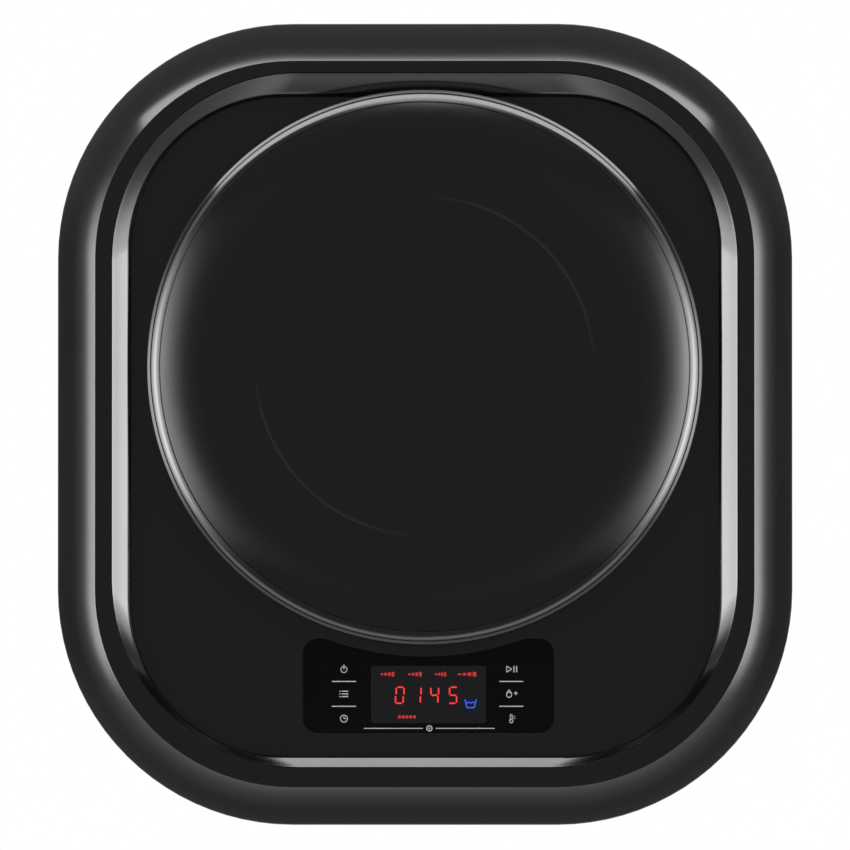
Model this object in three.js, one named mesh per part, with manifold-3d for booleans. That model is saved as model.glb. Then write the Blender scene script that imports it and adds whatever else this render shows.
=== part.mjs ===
// A wall mounted washing machine: a rounded black case with a round smoked door and six keys.
// Millimetres, +Z up. The wall is the plane y = 0, and the machine stands out from it toward -Y.
// Depths below are distances out from the wall, so a depth d lies at y = -d.
import * as THREE from "three";
import { mergeVertices } from "three/addons/utils/BufferGeometryUtils.js";
import Module from "manifold-3d";

// Clearance between pieces that touch.
const GAP = 0.3;

// Drum and tub: the drum sets the size of the tub, the door, the panel and the case.
const DRUM_RADIUS = 200;
const DRUM_WALL = 1.5;
const TUB_SPACE = 18;
const TUB_RADIUS = DRUM_RADIUS + TUB_SPACE;
const TUB_WALL = 3;
const MOUTH_STEP = 68;
const TUB_MOUTH_RADIUS = TUB_RADIUS - MOUTH_STEP;

// Door, measured out from the tub's mouth.
const DOOR_OVERLAP = 57;
const DOOR_RADIUS = TUB_MOUTH_RADIUS + DOOR_OVERLAP;
const DOOR_LAP = 3.8;

// Recessed front panel, with room below the door for the controls.
const PANEL_SIDE = 13.25;
const CONTROL_ROOM = 80;
const PANEL_WIDTH = 2 * (DOOR_RADIUS + PANEL_SIDE);
const PANEL_HEIGHT = 2 * DOOR_RADIUS + CONTROL_ROOM;
const PANEL_CORNER = 116;
const PANEL_DROP = 1.8;
const PANEL_WALL = 3;

// Case.
const BEZEL_SIDE = 54.75;
const BEZEL_END = 53;
const CASE_WIDTH = PANEL_WIDTH + 2 * BEZEL_SIDE;
const CASE_HEIGHT = PANEL_HEIGHT + 2 * BEZEL_END;
const CASE_CORNER = 176;
const CASE_WALL = 3;
const CASE_FULL_DEPTH = 244;
const REAR_INSET = 22;
const REAR_CHAMFER = 4;
const REAR_FLOOR = 6;
const SEAM_DEPTH = 62;
const EDGE_ROUND = 8;
const EDGE_TILT = 55;
const SHOULDER_RADIUS = 83;
const CREST_TILT = 30;
const CREST_RISE = 1.9;

// Opening in the crest, the bevel inside it and the depth of the recessed panel.
const CREST_SIDE = 13;
const CREST_TOP = 12;
const MOUTH_CORNER = 141;
const MOUTH_RISE = 3.2;
const PANEL_OUT = 10;
const PANEL_DEPTH = CASE_FULL_DEPTH + PANEL_OUT;
const BEVEL_FOOT_RISE = 9.5;
const BEZEL_SEAM = 0.5;
const BEZEL_LIP = 0.6;
const BEZEL_FLANGE = 9;
const BEZEL_LEDGE = 4;
const LEDGE_THICKNESS = 2.5;

// Wall anchors, measured in from the sides and the ends of the case.
const ANCHOR_SIDE = 90;
const ANCHOR_END = 95;
const ANCHOR_X = CASE_WIDTH / 2 - ANCHOR_SIDE;
const ANCHOR_Z = CASE_HEIGHT / 2 - ANCHOR_END;
const ANCHOR_HOLE_RADIUS = 5.5;
const PAD_RADIUS = 22;
const PAD_THICKNESS = 7.7;
const BOSS_WALL = 4;

// Drum axis, shared by the door, the tub, the drum and the drum pulley.
const AXIS_Z = PANEL_HEIGHT / 2 - PANEL_DROP + DOOR_LAP - DOOR_RADIUS;

// Drive: the pulley lies next to the rear panel, the belt runs down to the motor.
const PULLEY_RADIUS = 130;
const PULLEY_START = 22;
const PULLEY_WIDTH = 14;
const PULLEY_RIM = 6;
const PULLEY_WEB = 5;
const BELT_THICKNESS = 3;
const BELT_WIDTH = 10;
const BELT_RIDE = 0.8;
const MOTOR_SIDE = 125;
const MOTOR_RISE = 105;
const MOTOR_X = MOTOR_SIDE - CASE_WIDTH / 2;
const MOTOR_Z = MOTOR_RISE - CASE_HEIGHT / 2;
const MOTOR_RADIUS = 48;
const MOTOR_START = 50;
const MOTOR_LENGTH = 90;
const MOTOR_PULLEY_RADIUS = 13;
const MOTOR_SHAFT_RADIUS = 6;
const ROTOR_RADIUS = 21;
const ROTOR_AIR = 1;
const MOTOR_END_WALL = 8;

// Depths of the tub, measured back from the front panel.
const TUB_BACK = 46;
const TUB_BACK_WALL = 4;
const COLLAR_SET_BACK = 21;
const COLLAR_LENGTH = 7;
const CONE_DEPTH = 20;
const FRONT_WALL_DEPTH = 16;
const TUB_COLLAR_END = PANEL_DEPTH - COLLAR_SET_BACK;
const TUB_MOUTH_DEPTH = TUB_COLLAR_END - COLLAR_LENGTH;
const TUB_SHOULDER = TUB_MOUTH_DEPTH - CONE_DEPTH;
const TUB_SPLIT = TUB_SHOULDER - FRONT_WALL_DEPTH;
const TUB_FLANGE = 8;
const TUB_FLANGE_THICKNESS = 6;
const LUG_OFFSET = 14;
const LUG_RADIUS = 16.5;
const LUG_DEPTH = 100;
const LUG_THICKNESS = 12;
const STUD_RADIUS = 4;
const POST_RADIUS = 8;
const LUG_ANGLES = [15, 165, 205, 335];
const SUMP_HALF_WIDTH = 35;
const SUMP_DROP = 21;
const SUMP_SET_BACK = 20;
const SUMP_FRONT = TUB_SPLIT - SUMP_SET_BACK;

// Bearings and shaft.
const SHAFT_RADIUS = 10;
const BEARING_RADIUS = 23.5;
const BEARING_WIDTH = 8;
const HUB_RADIUS = 34;
const SEAL_RADIUS = 19;
const SEAL_WIDTH = 4;

// Drum front, lifters and spider.
const DRUM_LIP_STEP = 8;
const DRUM_LIP_SPACE = 14;
const DRUM_CONE_DEPTH = 14;
const DRUM_LIP_RADIUS = TUB_MOUTH_RADIUS - DRUM_LIP_STEP;
const DRUM_LIP_DEPTH = TUB_MOUTH_DEPTH - DRUM_LIP_SPACE;
const DRUM_FRONT = DRUM_LIP_DEPTH - DRUM_CONE_DEPTH;
const SPIDER_THICKNESS = 12;
const SPIDER_ARM_WIDTH = 26;
const SPIDER_HUB_RADIUS = 30;
const LIFTER_HEIGHT = 26;
const LIFTER_BASE = 34;
const LIFTER_CREST = 12;
const LIFTER_COUNT = 3;

// Door depths, measured out from the front panel.
const DOOR_SPACE = 4.5;
const DOOR_BACK = PANEL_DEPTH + DOOR_SPACE;
const DOOR_BACK_STEP = 9;
const TRIM_START = 8;
const RIM_START = 15.5;
const COVER_RISE = 18;
const COVER_RIM_RISE = 4.8;
const COVER_WALL = 3;
const TRIM_WIDTH = 9.3;
const TRIM_WALL = 3.7;
const GLASS_MARGIN = 24;
const GLASS_RADIUS = TUB_MOUTH_RADIUS - GLASS_MARGIN;
const GLASS_FLANGE = 12;
const GLASS_WALL = 4;
const GLASS_REACH = 53.5;
const PANEL_HOLE_STEP = 8;
const PANEL_HOLE_RADIUS = TUB_MOUTH_RADIUS - PANEL_HOLE_STEP;

// Hinge: a pin between two fixed ears, with the door's barrel between them.
const HINGE_SET_IN = 8;
const HINGE_STAND = 14;
const HINGE_X = HINGE_SET_IN - DOOR_RADIUS;
const HINGE_DEPTH = PANEL_DEPTH + HINGE_STAND;
const KNUCKLE_RADIUS = 4.6;
const HINGE_PIN_RADIUS = 2.2;
const BARREL_HALF = 28.5;
const EAR_THICKNESS = 6;
const EAR_SPACING = 0.5;
const NOTCH_SPARE = 1.9;
const NOTCH_FRONT_SPARE = 7.5;

// Door lock on the right, and the strike that enters it.
const STRIKE_OFFSET = 22;
const STRIKE_X = TUB_MOUTH_RADIUS + STRIKE_OFFSET;
const STRIKE_THICKNESS = 4;
const STRIKE_HEIGHT = 20;
const STRIKE_LENGTH = 18;
const STRIKE_REACH = PANEL_DEPTH - STRIKE_LENGTH;
const LOCK_PIN_RADIUS = 3;
const LOCK_PIN_SET_BACK = 11;
const LOCK_PIN_DEPTH = PANEL_DEPTH - LOCK_PIN_SET_BACK;

// Control panel, measured down from the door.
const CONTROL_CENTRE_X = 2.7;
const CONTROL_WIDTH = 187.3;
const CONTROL_DROP = 65.9;
const CONTROL_SPACE = 9.5;
const CONTROL_BOTTOM = AXIS_Z - DOOR_RADIUS - CONTROL_DROP;
const CONTROL_TOP_RADIUS = DOOR_RADIUS + CONTROL_SPACE;
const CONTROL_CORNER = 10;
const CONTROL_PROUD = 0.8;
const DISPLAY_RISE = 28.4;
const DISPLAY_CENTRE_Z = CONTROL_BOTTOM + DISPLAY_RISE;
const DISPLAY_WIDTH = 85.8;
const DISPLAY_HEIGHT = 43.7;
const KEY_WIDTH = 30;
const KEY_HEIGHT = 12;
const KEY_COLUMNS = [-60.5, 64.6];
const KEY_ROWS = [47.4, 28.9, 10.4].map((rise) => CONTROL_BOTTOM + rise);
const KEY_TRAVEL = 0.8;
const KEY_FLANGE = 1;
const KEY_STEM_RADIUS = 3;

// Water and power, measured in from the sides and the ends of the case.
const HOSE_RADIUS = 6;
const INLET_RADIUS = 13.2;
const INLET_SIDE = 136;
const INLET_X = CASE_WIDTH / 2 - INLET_SIDE;
const PORT_DEPTH = 35;
const PORT_RECESS = 10;
const PORT_HEIGHT = CASE_HEIGHT / 2 - PORT_RECESS;
const SPIGOT_RADIUS = 11;
const SPIGOT_SIDE = 155;
const SPIGOT_X = CASE_WIDTH / 2 - SPIGOT_SIDE;
const GLAND_RADIUS = 10;
const GLAND_X = -60;
const HOSE_PORT_SET_BACK = 32;
const HOSE_PORT_DEPTH = SUMP_FRONT - HOSE_PORT_SET_BACK;
const PUMP_SIDE = 125;
const PUMP_RISE = 105;
const PUMP_X = CASE_WIDTH / 2 - PUMP_SIDE;
const PUMP_Z = PUMP_RISE - CASE_HEIGHT / 2;
const PUMP_RADIUS = 28;
const PUMP_LENGTH = 60;
const PUMP_FRONT_SPACE = 12;
const PUMP_END = HOSE_PORT_DEPTH + PUMP_FRONT_SPACE;
const PUMP_START = PUMP_END - PUMP_LENGTH;
const HEATER_RADIUS = 4;
const HEATER_SET_BACK = 20;

// Facets round a full circle, and half of those round a quarter turn of the case.
const LOFT_CORNER_STEPS = 4;
const FINE = 36;
const MEDIUM = 24;
const COARSE = 16;

const wasm = await Module();
wasm.setup();
const machine = new THREE.Group();

// A closed geometry as a solid that can be joined and cut.
function solid(geometry) {
  const bare = geometry.index ? geometry.toNonIndexed() : geometry.clone();
  bare.deleteAttribute("normal");
  bare.deleteAttribute("uv");
  const merged = mergeVertices(bare, 1e-4);
  return new wasm.Manifold(
    new wasm.Mesh({
      numProp: 3,
      vertProperties: merged.attributes.position.array,
      triVerts: new Uint32Array(merged.index.array),
    }),
  );
}

// Joins several solids into one.
function join(first, ...rest) {
  return rest.reduce((sum, next) => sum.add(next), first);
}

// Cuts several solids out of one.
function cut(first, ...rest) {
  return rest.reduce((left, next) => left.subtract(next), first);
}

// Hangs a finished piece in the machine under its name.
function piece(name, made, color, roughness, metalness = 0) {
  const mesh = made.getMesh();
  const geometry = new THREE.BufferGeometry();
  geometry.setAttribute("position", new THREE.BufferAttribute(mesh.vertProperties, 3));
  geometry.setIndex(new THREE.BufferAttribute(mesh.triVerts, 1));
  const material = new THREE.MeshStandardMaterial({ color, roughness, metalness });
  const part = new THREE.Mesh(geometry, material);
  part.name = name;
  machine.add(part);
}

// A box between two depths out from the wall.
function block(x0, x1, depth0, depth1, z0, z1) {
  const geometry = new THREE.BoxGeometry(x1 - x0, depth1 - depth0, z1 - z0);
  geometry.translate((x0 + x1) / 2, -(depth0 + depth1) / 2, (z0 + z1) / 2);
  return solid(geometry);
}

// A round bar that stands straight out from the wall.
function bar(radius, depth0, depth1, x, z, segments = COARSE) {
  const geometry = new THREE.CylinderGeometry(radius, radius, depth1 - depth0, segments);
  geometry.translate(x, -(depth0 + depth1) / 2, z);
  return solid(geometry);
}

// A round bar that stands upright.
function uprightBar(radius, z0, z1, x, depth, segments = COARSE) {
  const geometry = new THREE.CylinderGeometry(radius, radius, z1 - z0, segments);
  geometry.rotateX(Math.PI / 2);
  geometry.translate(x, -depth, (z0 + z1) / 2);
  return solid(geometry);
}

// A round bar that lies from side to side.
function crossBar(radius, x0, x1, depth, z, segments = COARSE) {
  const geometry = new THREE.CylinderGeometry(radius, radius, x1 - x0, segments);
  geometry.rotateZ(Math.PI / 2);
  geometry.translate((x0 + x1) / 2, -depth, z);
  return solid(geometry);
}

// A piece turned about a line that stands out from the wall, from [radius, depth] points.
function turned(profile, segments = FINE, x = 0, z = AXIS_Z) {
  const points = profile.map(([radius, depth]) => new THREE.Vector2(radius, -depth));
  if (THREE.ShapeUtils.area(points) < 0) points.reverse();
  const start = points.findIndex((point) => point.x === 0);
  const open = start < 0;
  if (open) points.push(points[0].clone());
  else while (points[0].x !== 0 || points.at(-1).x !== 0) points.push(points.shift());
  const geometry = new THREE.LatheGeometry(points, segments);
  geometry.translate(x, 0, z);
  return solid(geometry);
}

// A flat outline seen from the front, given thickness between two depths.
function slab(shape, depth0, depth1, curveSegments = 8) {
  const geometry = new THREE.ExtrudeGeometry(shape, {
    depth: depth1 - depth0,
    bevelEnabled: false,
    curveSegments,
  });
  geometry.rotateX(Math.PI / 2);
  geometry.translate(0, -depth0, 0);
  return solid(geometry);
}

// A rectangle with round corners, seen from the front.
function roundedOutline(width, height, corner, x = 0, z = 0) {
  const right = x + width / 2;
  const left = x - width / 2;
  const top = z + height / 2;
  const bottom = z - height / 2;
  const shape = new THREE.Shape();
  shape.absarc(right - corner, top - corner, corner, 0, Math.PI / 2);
  shape.absarc(left + corner, top - corner, corner, Math.PI / 2, Math.PI);
  shape.absarc(left + corner, bottom + corner, corner, Math.PI, 1.5 * Math.PI);
  shape.absarc(right - corner, bottom + corner, corner, 1.5 * Math.PI, 2 * Math.PI);
  return shape;
}

// A solid through a row of rounded rectangles, each { width, height, corner, rise, depth }.
function loft(sections) {
  const rings = sections.map((s) =>
    roundedOutline(s.width, s.height, s.corner, 0, s.rise).getPoints(LOFT_CORNER_STEPS),
  );
  const count = rings[0].length;
  const positions = [];
  rings.forEach((ring, r) => {
    ring.forEach((p) => positions.push(p.x, -sections[r].depth, p.y));
  });
  const index = [];
  for (let r = 0; r + 1 < rings.length; r += 1) {
    for (let i = 0; i < count; i += 1) {
      const a = r * count + i;
      const b = r * count + ((i + 1) % count);
      index.push(a, b, a + count, b, b + count, a + count);
    }
  }
  const last = (rings.length - 1) * count;
  for (let i = 1; i + 1 < count; i += 1) {
    index.push(0, i + 1, i);
    index.push(last, last + i, last + i + 1);
  }
  const geometry = new THREE.BufferGeometry();
  geometry.setAttribute("position", new THREE.Float32BufferAttribute(positions, 3));
  geometry.setIndex(index);
  return solid(geometry);
}

// A round tube laid along a curve through [x, depth, z] points.
function hose(radius, route, steps) {
  const curve = new THREE.CatmullRomCurve3(route.map(([x, d, z]) => new THREE.Vector3(x, -d, z)));
  const section = new THREE.Shape();
  section.absarc(0, 0, radius, 0, 2 * Math.PI);
  return solid(
    new THREE.ExtrudeGeometry(section, { steps, extrudePath: curve, curveSegments: 4 }),
  );
}

// ---------------------------------------------------------------- Case

const BLACK = 0x16171a;
const radians = THREE.MathUtils.degToRad;

const edgeEndInset = EDGE_ROUND * (1 - Math.sin(radians(EDGE_TILT)));
const edgeEndDepth = CASE_FULL_DEPTH + EDGE_ROUND * Math.cos(radians(EDGE_TILT));
const shoulderInset = edgeEndInset + SHOULDER_RADIUS * Math.sin(radians(EDGE_TILT));
const shoulderDepth = edgeEndDepth - SHOULDER_RADIUS * Math.cos(radians(EDGE_TILT));
const crestInset = shoulderInset - SHOULDER_RADIUS * Math.sin(radians(CREST_TILT));
const crestDepth = shoulderDepth + SHOULDER_RADIUS * Math.cos(radians(CREST_TILT));
const lipBack = crestDepth - CASE_WALL;
const panelBack = PANEL_DEPTH - PANEL_WALL;
const behindPanel = panelBack - GAP;

// How far the tapered side stands in from the full outline at a depth.
function taperInset(depth) {
  return REAR_INSET * (1 - depth / CASE_FULL_DEPTH);
}

// The case outline set in from the full silhouette, drifting up a little toward the crest.
function caseSection(inset, depth, rise = 0) {
  const width = CASE_WIDTH - 2 * inset;
  const height = CASE_HEIGHT - 2 * inset;
  return { width, height, corner: CASE_CORNER - inset, rise, depth };
}

// Sections over the rounded edge and up the shoulder, on the outside or under a wall.
function shoulderSections(wall) {
  const section = (centreInset, centreDepth, radius, tilt) => {
    const inset = centreInset - (radius - wall) * Math.sin(radians(tilt));
    const depth = centreDepth + (radius - wall) * Math.cos(radians(tilt));
    const climb = Math.max(0, Math.min(1, inset / crestInset));
    return caseSection(inset, Math.min(depth, crestDepth - wall), CREST_RISE * climb);
  };
  const middle = (90 + EDGE_TILT) / 2;
  const edge = [90, middle].map((tilt) => section(EDGE_ROUND, CASE_FULL_DEPTH, EDGE_ROUND, tilt));
  const shoulder = [0, 1 / 3, 2 / 3, 1].map((t) => {
    const tilt = THREE.MathUtils.lerp(EDGE_TILT, CREST_TILT, t);
    return section(shoulderInset, shoulderDepth, SHOULDER_RADIUS, tilt);
  });
  return [...edge, ...shoulder];
}

// The opening inside the crest, grown or shrunk evenly.
function mouthSection(grow, depth) {
  return {
    width: CASE_WIDTH - 2 * (crestInset + CREST_SIDE - grow),
    height: CASE_HEIGHT - 2 * (crestInset + CREST_TOP - grow),
    corner: MOUTH_CORNER + grow,
    rise: MOUTH_RISE,
    depth,
  };
}

// The recessed panel's outline, grown or shrunk evenly.
function panelSection(grow, depth) {
  const width = PANEL_WIDTH + 2 * grow;
  const height = PANEL_HEIGHT + 2 * grow;
  return { width, height, corner: PANEL_CORNER + grow, rise: -PANEL_DROP, depth };
}

// A place on the tub's lug circle.
function lugPlace(degrees) {
  const reach = TUB_RADIUS + LUG_OFFSET;
  return [reach * Math.cos(radians(degrees)), AXIS_Z + reach * Math.sin(radians(degrees))];
}

// Rear panel: a shallow tray against the wall, with anchor bosses and four posts for the tub.
const seat = PAD_THICKNESS + GAP;
const anchors = [
  [-ANCHOR_X, ANCHOR_Z],
  [ANCHOR_X, ANCHOR_Z],
  [-ANCHOR_X, -ANCHOR_Z],
  [ANCHOR_X, -ANCHOR_Z],
];
let rearPanel = loft([
  caseSection(REAR_INSET + REAR_CHAMFER, 0),
  caseSection(taperInset(REAR_CHAMFER), REAR_CHAMFER),
  caseSection(taperInset(SEAM_DEPTH - GAP), SEAM_DEPTH - GAP),
]);
rearPanel = cut(
  rearPanel,
  loft([
    caseSection(taperInset(REAR_FLOOR) + CASE_WALL, REAR_FLOOR),
    caseSection(taperInset(SEAM_DEPTH) + CASE_WALL, SEAM_DEPTH + 1),
  ]),
);
for (const [x, z] of anchors) {
  rearPanel = join(rearPanel, bar(PAD_RADIUS + GAP + BOSS_WALL, REAR_FLOOR / 2, seat + BOSS_WALL, x, z));
  rearPanel = cut(
    rearPanel,
    bar(PAD_RADIUS + GAP, -1, seat, x, z),
    bar(ANCHOR_HOLE_RADIUS, 0, seat + BOSS_WALL + 1, x, z),
  );
}
for (const angle of LUG_ANGLES) {
  const [x, z] = lugPlace(angle);
  const studEnd = LUG_DEPTH + LUG_THICKNESS + 2 * STUD_RADIUS;
  rearPanel = join(
    rearPanel,
    bar(POST_RADIUS, REAR_FLOOR / 2, LUG_DEPTH, x, z),
    bar(STUD_RADIUS, REAR_FLOOR, studEnd, x, z),
  );
}
rearPanel = cut(
  rearPanel,
  uprightBar(INLET_RADIUS + GAP, AXIS_Z + TUB_RADIUS, CASE_HEIGHT / 2, INLET_X, PORT_DEPTH),
  uprightBar(SPIGOT_RADIUS + GAP, -CASE_HEIGHT / 2, -ANCHOR_Z, SPIGOT_X, PORT_DEPTH),
  uprightBar(GLAND_RADIUS + GAP, -CASE_HEIGHT / 2, -ANCHOR_Z, GLAND_X, PORT_DEPTH),
);
piece("rear_panel", rearPanel, 0x3a3c40, 0.6, 0.3);

// Rubber pads round the four wall anchors.
anchors.forEach(([x, z], i) => {
  const pad = cut(bar(PAD_RADIUS, 0, PAD_THICKNESS, x, z), bar(ANCHOR_HOLE_RADIUS, -1, seat, x, z));
  piece(`wall_pad_${i + 1}`, pad, 0x1b1b1b, 0.95);
});

// Front frame: the glossy shell with its rolled shoulder, flat crest and board pegs.
const BOARD_RISE = 17;
const BOARD_Z = BOARD_RISE - CASE_HEIGHT / 2;
const BOARD_HALF_WIDTH = 70;
const BOARD_LENGTH = 82;
const BOARD_SET_BACK = 22;
const BOARD_FRONT = PANEL_DEPTH - BOARD_SET_BACK;
const BOARD_BACK = BOARD_FRONT - BOARD_LENGTH;
const BOARD_THICKNESS = 1.6;
const PEG_RADIUS = 4;
const PEG_SET_IN = 10;
let frontFrame = loft([caseSection(taperInset(SEAM_DEPTH), SEAM_DEPTH), ...shoulderSections(0)]);
frontFrame = cut(
  frontFrame,
  loft([
    caseSection(taperInset(SEAM_DEPTH) + CASE_WALL, SEAM_DEPTH - 1),
    ...shoulderSections(CASE_WALL),
  ]),
  loft([mouthSection(0, lipBack - 1), mouthSection(0, crestDepth + 1)]),
);
for (const depth of [BOARD_BACK + PEG_SET_IN, BOARD_FRONT - PEG_SET_IN]) {
  const wallMiddle = -CASE_HEIGHT / 2 + taperInset(depth) + CASE_WALL / 2;
  for (const x of [-BOARD_HALF_WIDTH + PEG_SET_IN, BOARD_HALF_WIDTH - PEG_SET_IN]) {
    frontFrame = join(frontFrame, uprightBar(PEG_RADIUS, wallMiddle, BOARD_Z - GAP, x, depth, 12));
  }
}
piece("front_frame", frontFrame, BLACK, 0.12);

// Bezel: the bevel down from the crest, with a flange behind the crest and a ledge for the panel.
const flangeBack = lipBack - GAP - CASE_WALL;
const bevelFoot = PANEL_DEPTH + BEVEL_FOOT_RISE;
const ledgeBack = behindPanel - LEDGE_THICKNESS;
const bezel = cut(
  loft([
    panelSection(PANEL_WALL, ledgeBack),
    panelSection(PANEL_WALL, bevelFoot - PANEL_WALL),
    mouthSection(0, flangeBack),
    mouthSection(BEZEL_FLANGE, flangeBack),
    mouthSection(BEZEL_FLANGE, lipBack - GAP),
    mouthSection(-BEZEL_SEAM, lipBack - GAP),
    mouthSection(-BEZEL_SEAM, crestDepth),
  ]),
  loft([panelSection(-BEZEL_LEDGE, ledgeBack - 1), panelSection(-BEZEL_LEDGE, PANEL_DEPTH)]),
  loft([
    panelSection(0, behindPanel),
    panelSection(0, bevelFoot),
    mouthSection(-BEZEL_SEAM - BEZEL_LIP, crestDepth),
    mouthSection(-BEZEL_SEAM - BEZEL_LIP, crestDepth + 1),
  ]),
);
piece("front_bezel", bezel, BLACK, 0.12);

// Front fascia: the flat panel on the bezel's ledge, with openings for what lies behind it.
const knuckleReach = KNUCKLE_RADIUS + EAR_SPACING;
const earStart = BARREL_HALF + EAR_SPACING;
const earEnd = earStart + EAR_THICKNESS;
const keyBack = PANEL_DEPTH + CONTROL_PROUD;
const PORT_XS = [-45, -10];
const PORT_RISE = 18;
const DETERGENT_SPACE = 11;
const DETERGENT_BOTTOM = AXIS_Z + TUB_MOUTH_RADIUS + DETERGENT_SPACE;
const PORT_Z = DETERGENT_BOTTOM + PORT_RISE;
const PORT_HALF = 11.5;
const PORT_LEAD = 0.5;

// The control panel's outline: flat below, with a top edge that follows the round door.
function controlOutline(grow) {
  const half = CONTROL_WIDTH / 2 + grow;
  const right = CONTROL_CENTRE_X + half;
  const left = CONTROL_CENTRE_X - half;
  const bottom = CONTROL_BOTTOM - grow;
  const corner = CONTROL_CORNER + grow;
  const radius = CONTROL_TOP_RADIUS - grow;
  const arcRight = right - CONTROL_CORNER / 2;
  const arcLeft = left + CONTROL_CORNER / 2;
  const fromAngle = Math.atan2(-Math.sqrt(radius ** 2 - arcRight ** 2), arcRight);
  const toAngle = Math.atan2(-Math.sqrt(radius ** 2 - arcLeft ** 2), arcLeft);
  const shape = new THREE.Shape();
  shape.absarc(left + corner, bottom + corner, corner, Math.PI, 1.5 * Math.PI);
  shape.absarc(right - corner, bottom + corner, corner, 1.5 * Math.PI, 2 * Math.PI);
  shape.lineTo(right, AXIS_Z + radius * Math.sin(fromAngle) - CONTROL_CORNER / 2);
  shape.absarc(0, AXIS_Z, radius, fromAngle, toAngle, true);
  shape.lineTo(left, AXIS_Z + radius * Math.sin(toAngle) - CONTROL_CORNER / 2);
  return shape;
}

let fascia = cut(
  loft([panelSection(-GAP, panelBack), panelSection(-GAP, PANEL_DEPTH)]),
  bar(PANEL_HOLE_RADIUS, panelBack - 1, PANEL_DEPTH + 1, 0, AXIS_Z, FINE),
  slab(controlOutline(GAP), panelBack - 1, PANEL_DEPTH + 1, 6),
);
for (const side of [-1, 1]) {
  const slotMiddle = AXIS_Z + (side * (earStart + earEnd)) / 2;
  const slotHalf = EAR_THICKNESS / 2 + EAR_SPACING;
  fascia = cut(
    fascia,
    block(
      HINGE_X - knuckleReach,
      HINGE_X + knuckleReach,
      panelBack - 1,
      PANEL_DEPTH + 1,
      slotMiddle - slotHalf,
      slotMiddle + slotHalf,
    ),
  );
}
const SLOT_SPARE_X = 4;
const SLOT_SPARE_Z = 3;
const strikeLeft = STRIKE_X - STRIKE_THICKNESS / 2;
const strikeRight = STRIKE_X + STRIKE_THICKNESS / 2;
const slotHalfHeight = STRIKE_HEIGHT / 2 + SLOT_SPARE_Z;
fascia = cut(
  fascia,
  block(
    strikeLeft - SLOT_SPARE_X,
    strikeRight + SLOT_SPARE_X,
    panelBack - 1,
    PANEL_DEPTH + 1,
    AXIS_Z - slotHalfHeight,
    AXIS_Z + slotHalfHeight,
  ),
);
for (const x of PORT_XS) {
  const reach = PORT_HALF + PORT_LEAD;
  fascia = cut(
    fascia,
    block(x - reach, x + reach, panelBack - 1, PANEL_DEPTH + 1, PORT_Z - reach, PORT_Z + reach),
  );
}
piece("front_fascia", fascia, BLACK, 0.15);

// ---------------------------------------------------------------- Door

const trimBack = DOOR_BACK + TRIM_START;
const rimBack = DOOR_BACK + RIM_START;
const coverRim = rimBack + COVER_RIM_RISE;
const crown = rimBack + COVER_RISE;
const frameFront = rimBack - GAP;
const glassSeat = DOOR_BACK + COVER_WALL + GAP;
const frameRadius = DOOR_RADIUS - GAP;
const trimInner = DOOR_RADIUS - TRIM_WALL;
const rimInner = DOOR_RADIUS - TRIM_WIDTH;
const coverRadius = rimInner - GAP;
const panelTopReach = PANEL_HEIGHT / 2 - PANEL_DROP - AXIS_Z;
const FOOT_SPACE = 1.4;
const notchEdge = HINGE_X + KNUCKLE_RADIUS + NOTCH_SPARE;
const notchHalf = earEnd + 2;
const notchFront = HINGE_DEPTH + NOTCH_FRONT_SPARE;

// The space that the hinge knuckles need inside the door's left edge.
function hingeNotch() {
  return block(
    -DOOR_RADIUS - 9,
    notchEdge,
    DOOR_BACK - 1,
    notchFront,
    AXIS_Z - notchHalf,
    AXIS_Z + notchHalf,
  );
}

// Smoked cover: nearly flat in the middle, rolling off to the rim.
const coverFront = [
  [0, crown],
  [coverRadius - 97, crown - 0.3],
  [coverRadius - 47, crown - 0.9],
  [coverRadius - 32, crown - 1.9],
  [coverRadius - 22, crown - 3.6],
  [coverRadius - 12, crown - 6.8],
  [coverRadius - 5, crown - 10.1],
  [coverRadius, coverRim],
];
const coverBack = [
  [coverRadius, rimBack],
  [coverRadius - COVER_WALL, rimBack],
  [coverRadius - COVER_WALL, coverRim - 2.6],
  [coverRadius - 14, crown - 10],
  [coverRadius - 24, crown - 7],
  [coverRadius - 34, crown - 5.2],
  [coverRadius - 49, crown - COVER_WALL - 1.1],
  [coverRadius - 97, crown - COVER_WALL - 0.4],
  [0, crown - COVER_WALL],
];
piece("door_cover", turned([...coverFront, ...coverBack]), 0x101114, 0.08);

// Trim ring that snaps round the rim of the frame and covers the edge of the cover.
const doorTrim = turned([
  [trimInner, trimBack],
  [DOOR_RADIUS, trimBack],
  [DOOR_RADIUS, coverRim - 8.5],
  [DOOR_RADIUS - 1.4, coverRim - 4.6],
  [DOOR_RADIUS - 2.9, coverRim - 2.9],
  [rimInner, coverRim - 0.4],
  [rimInner, rimBack],
  [trimInner, rimBack],
]);
piece("door_trim", cut(doorTrim, hingeNotch()), 0x0b0b0d, 0.1);

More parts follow.
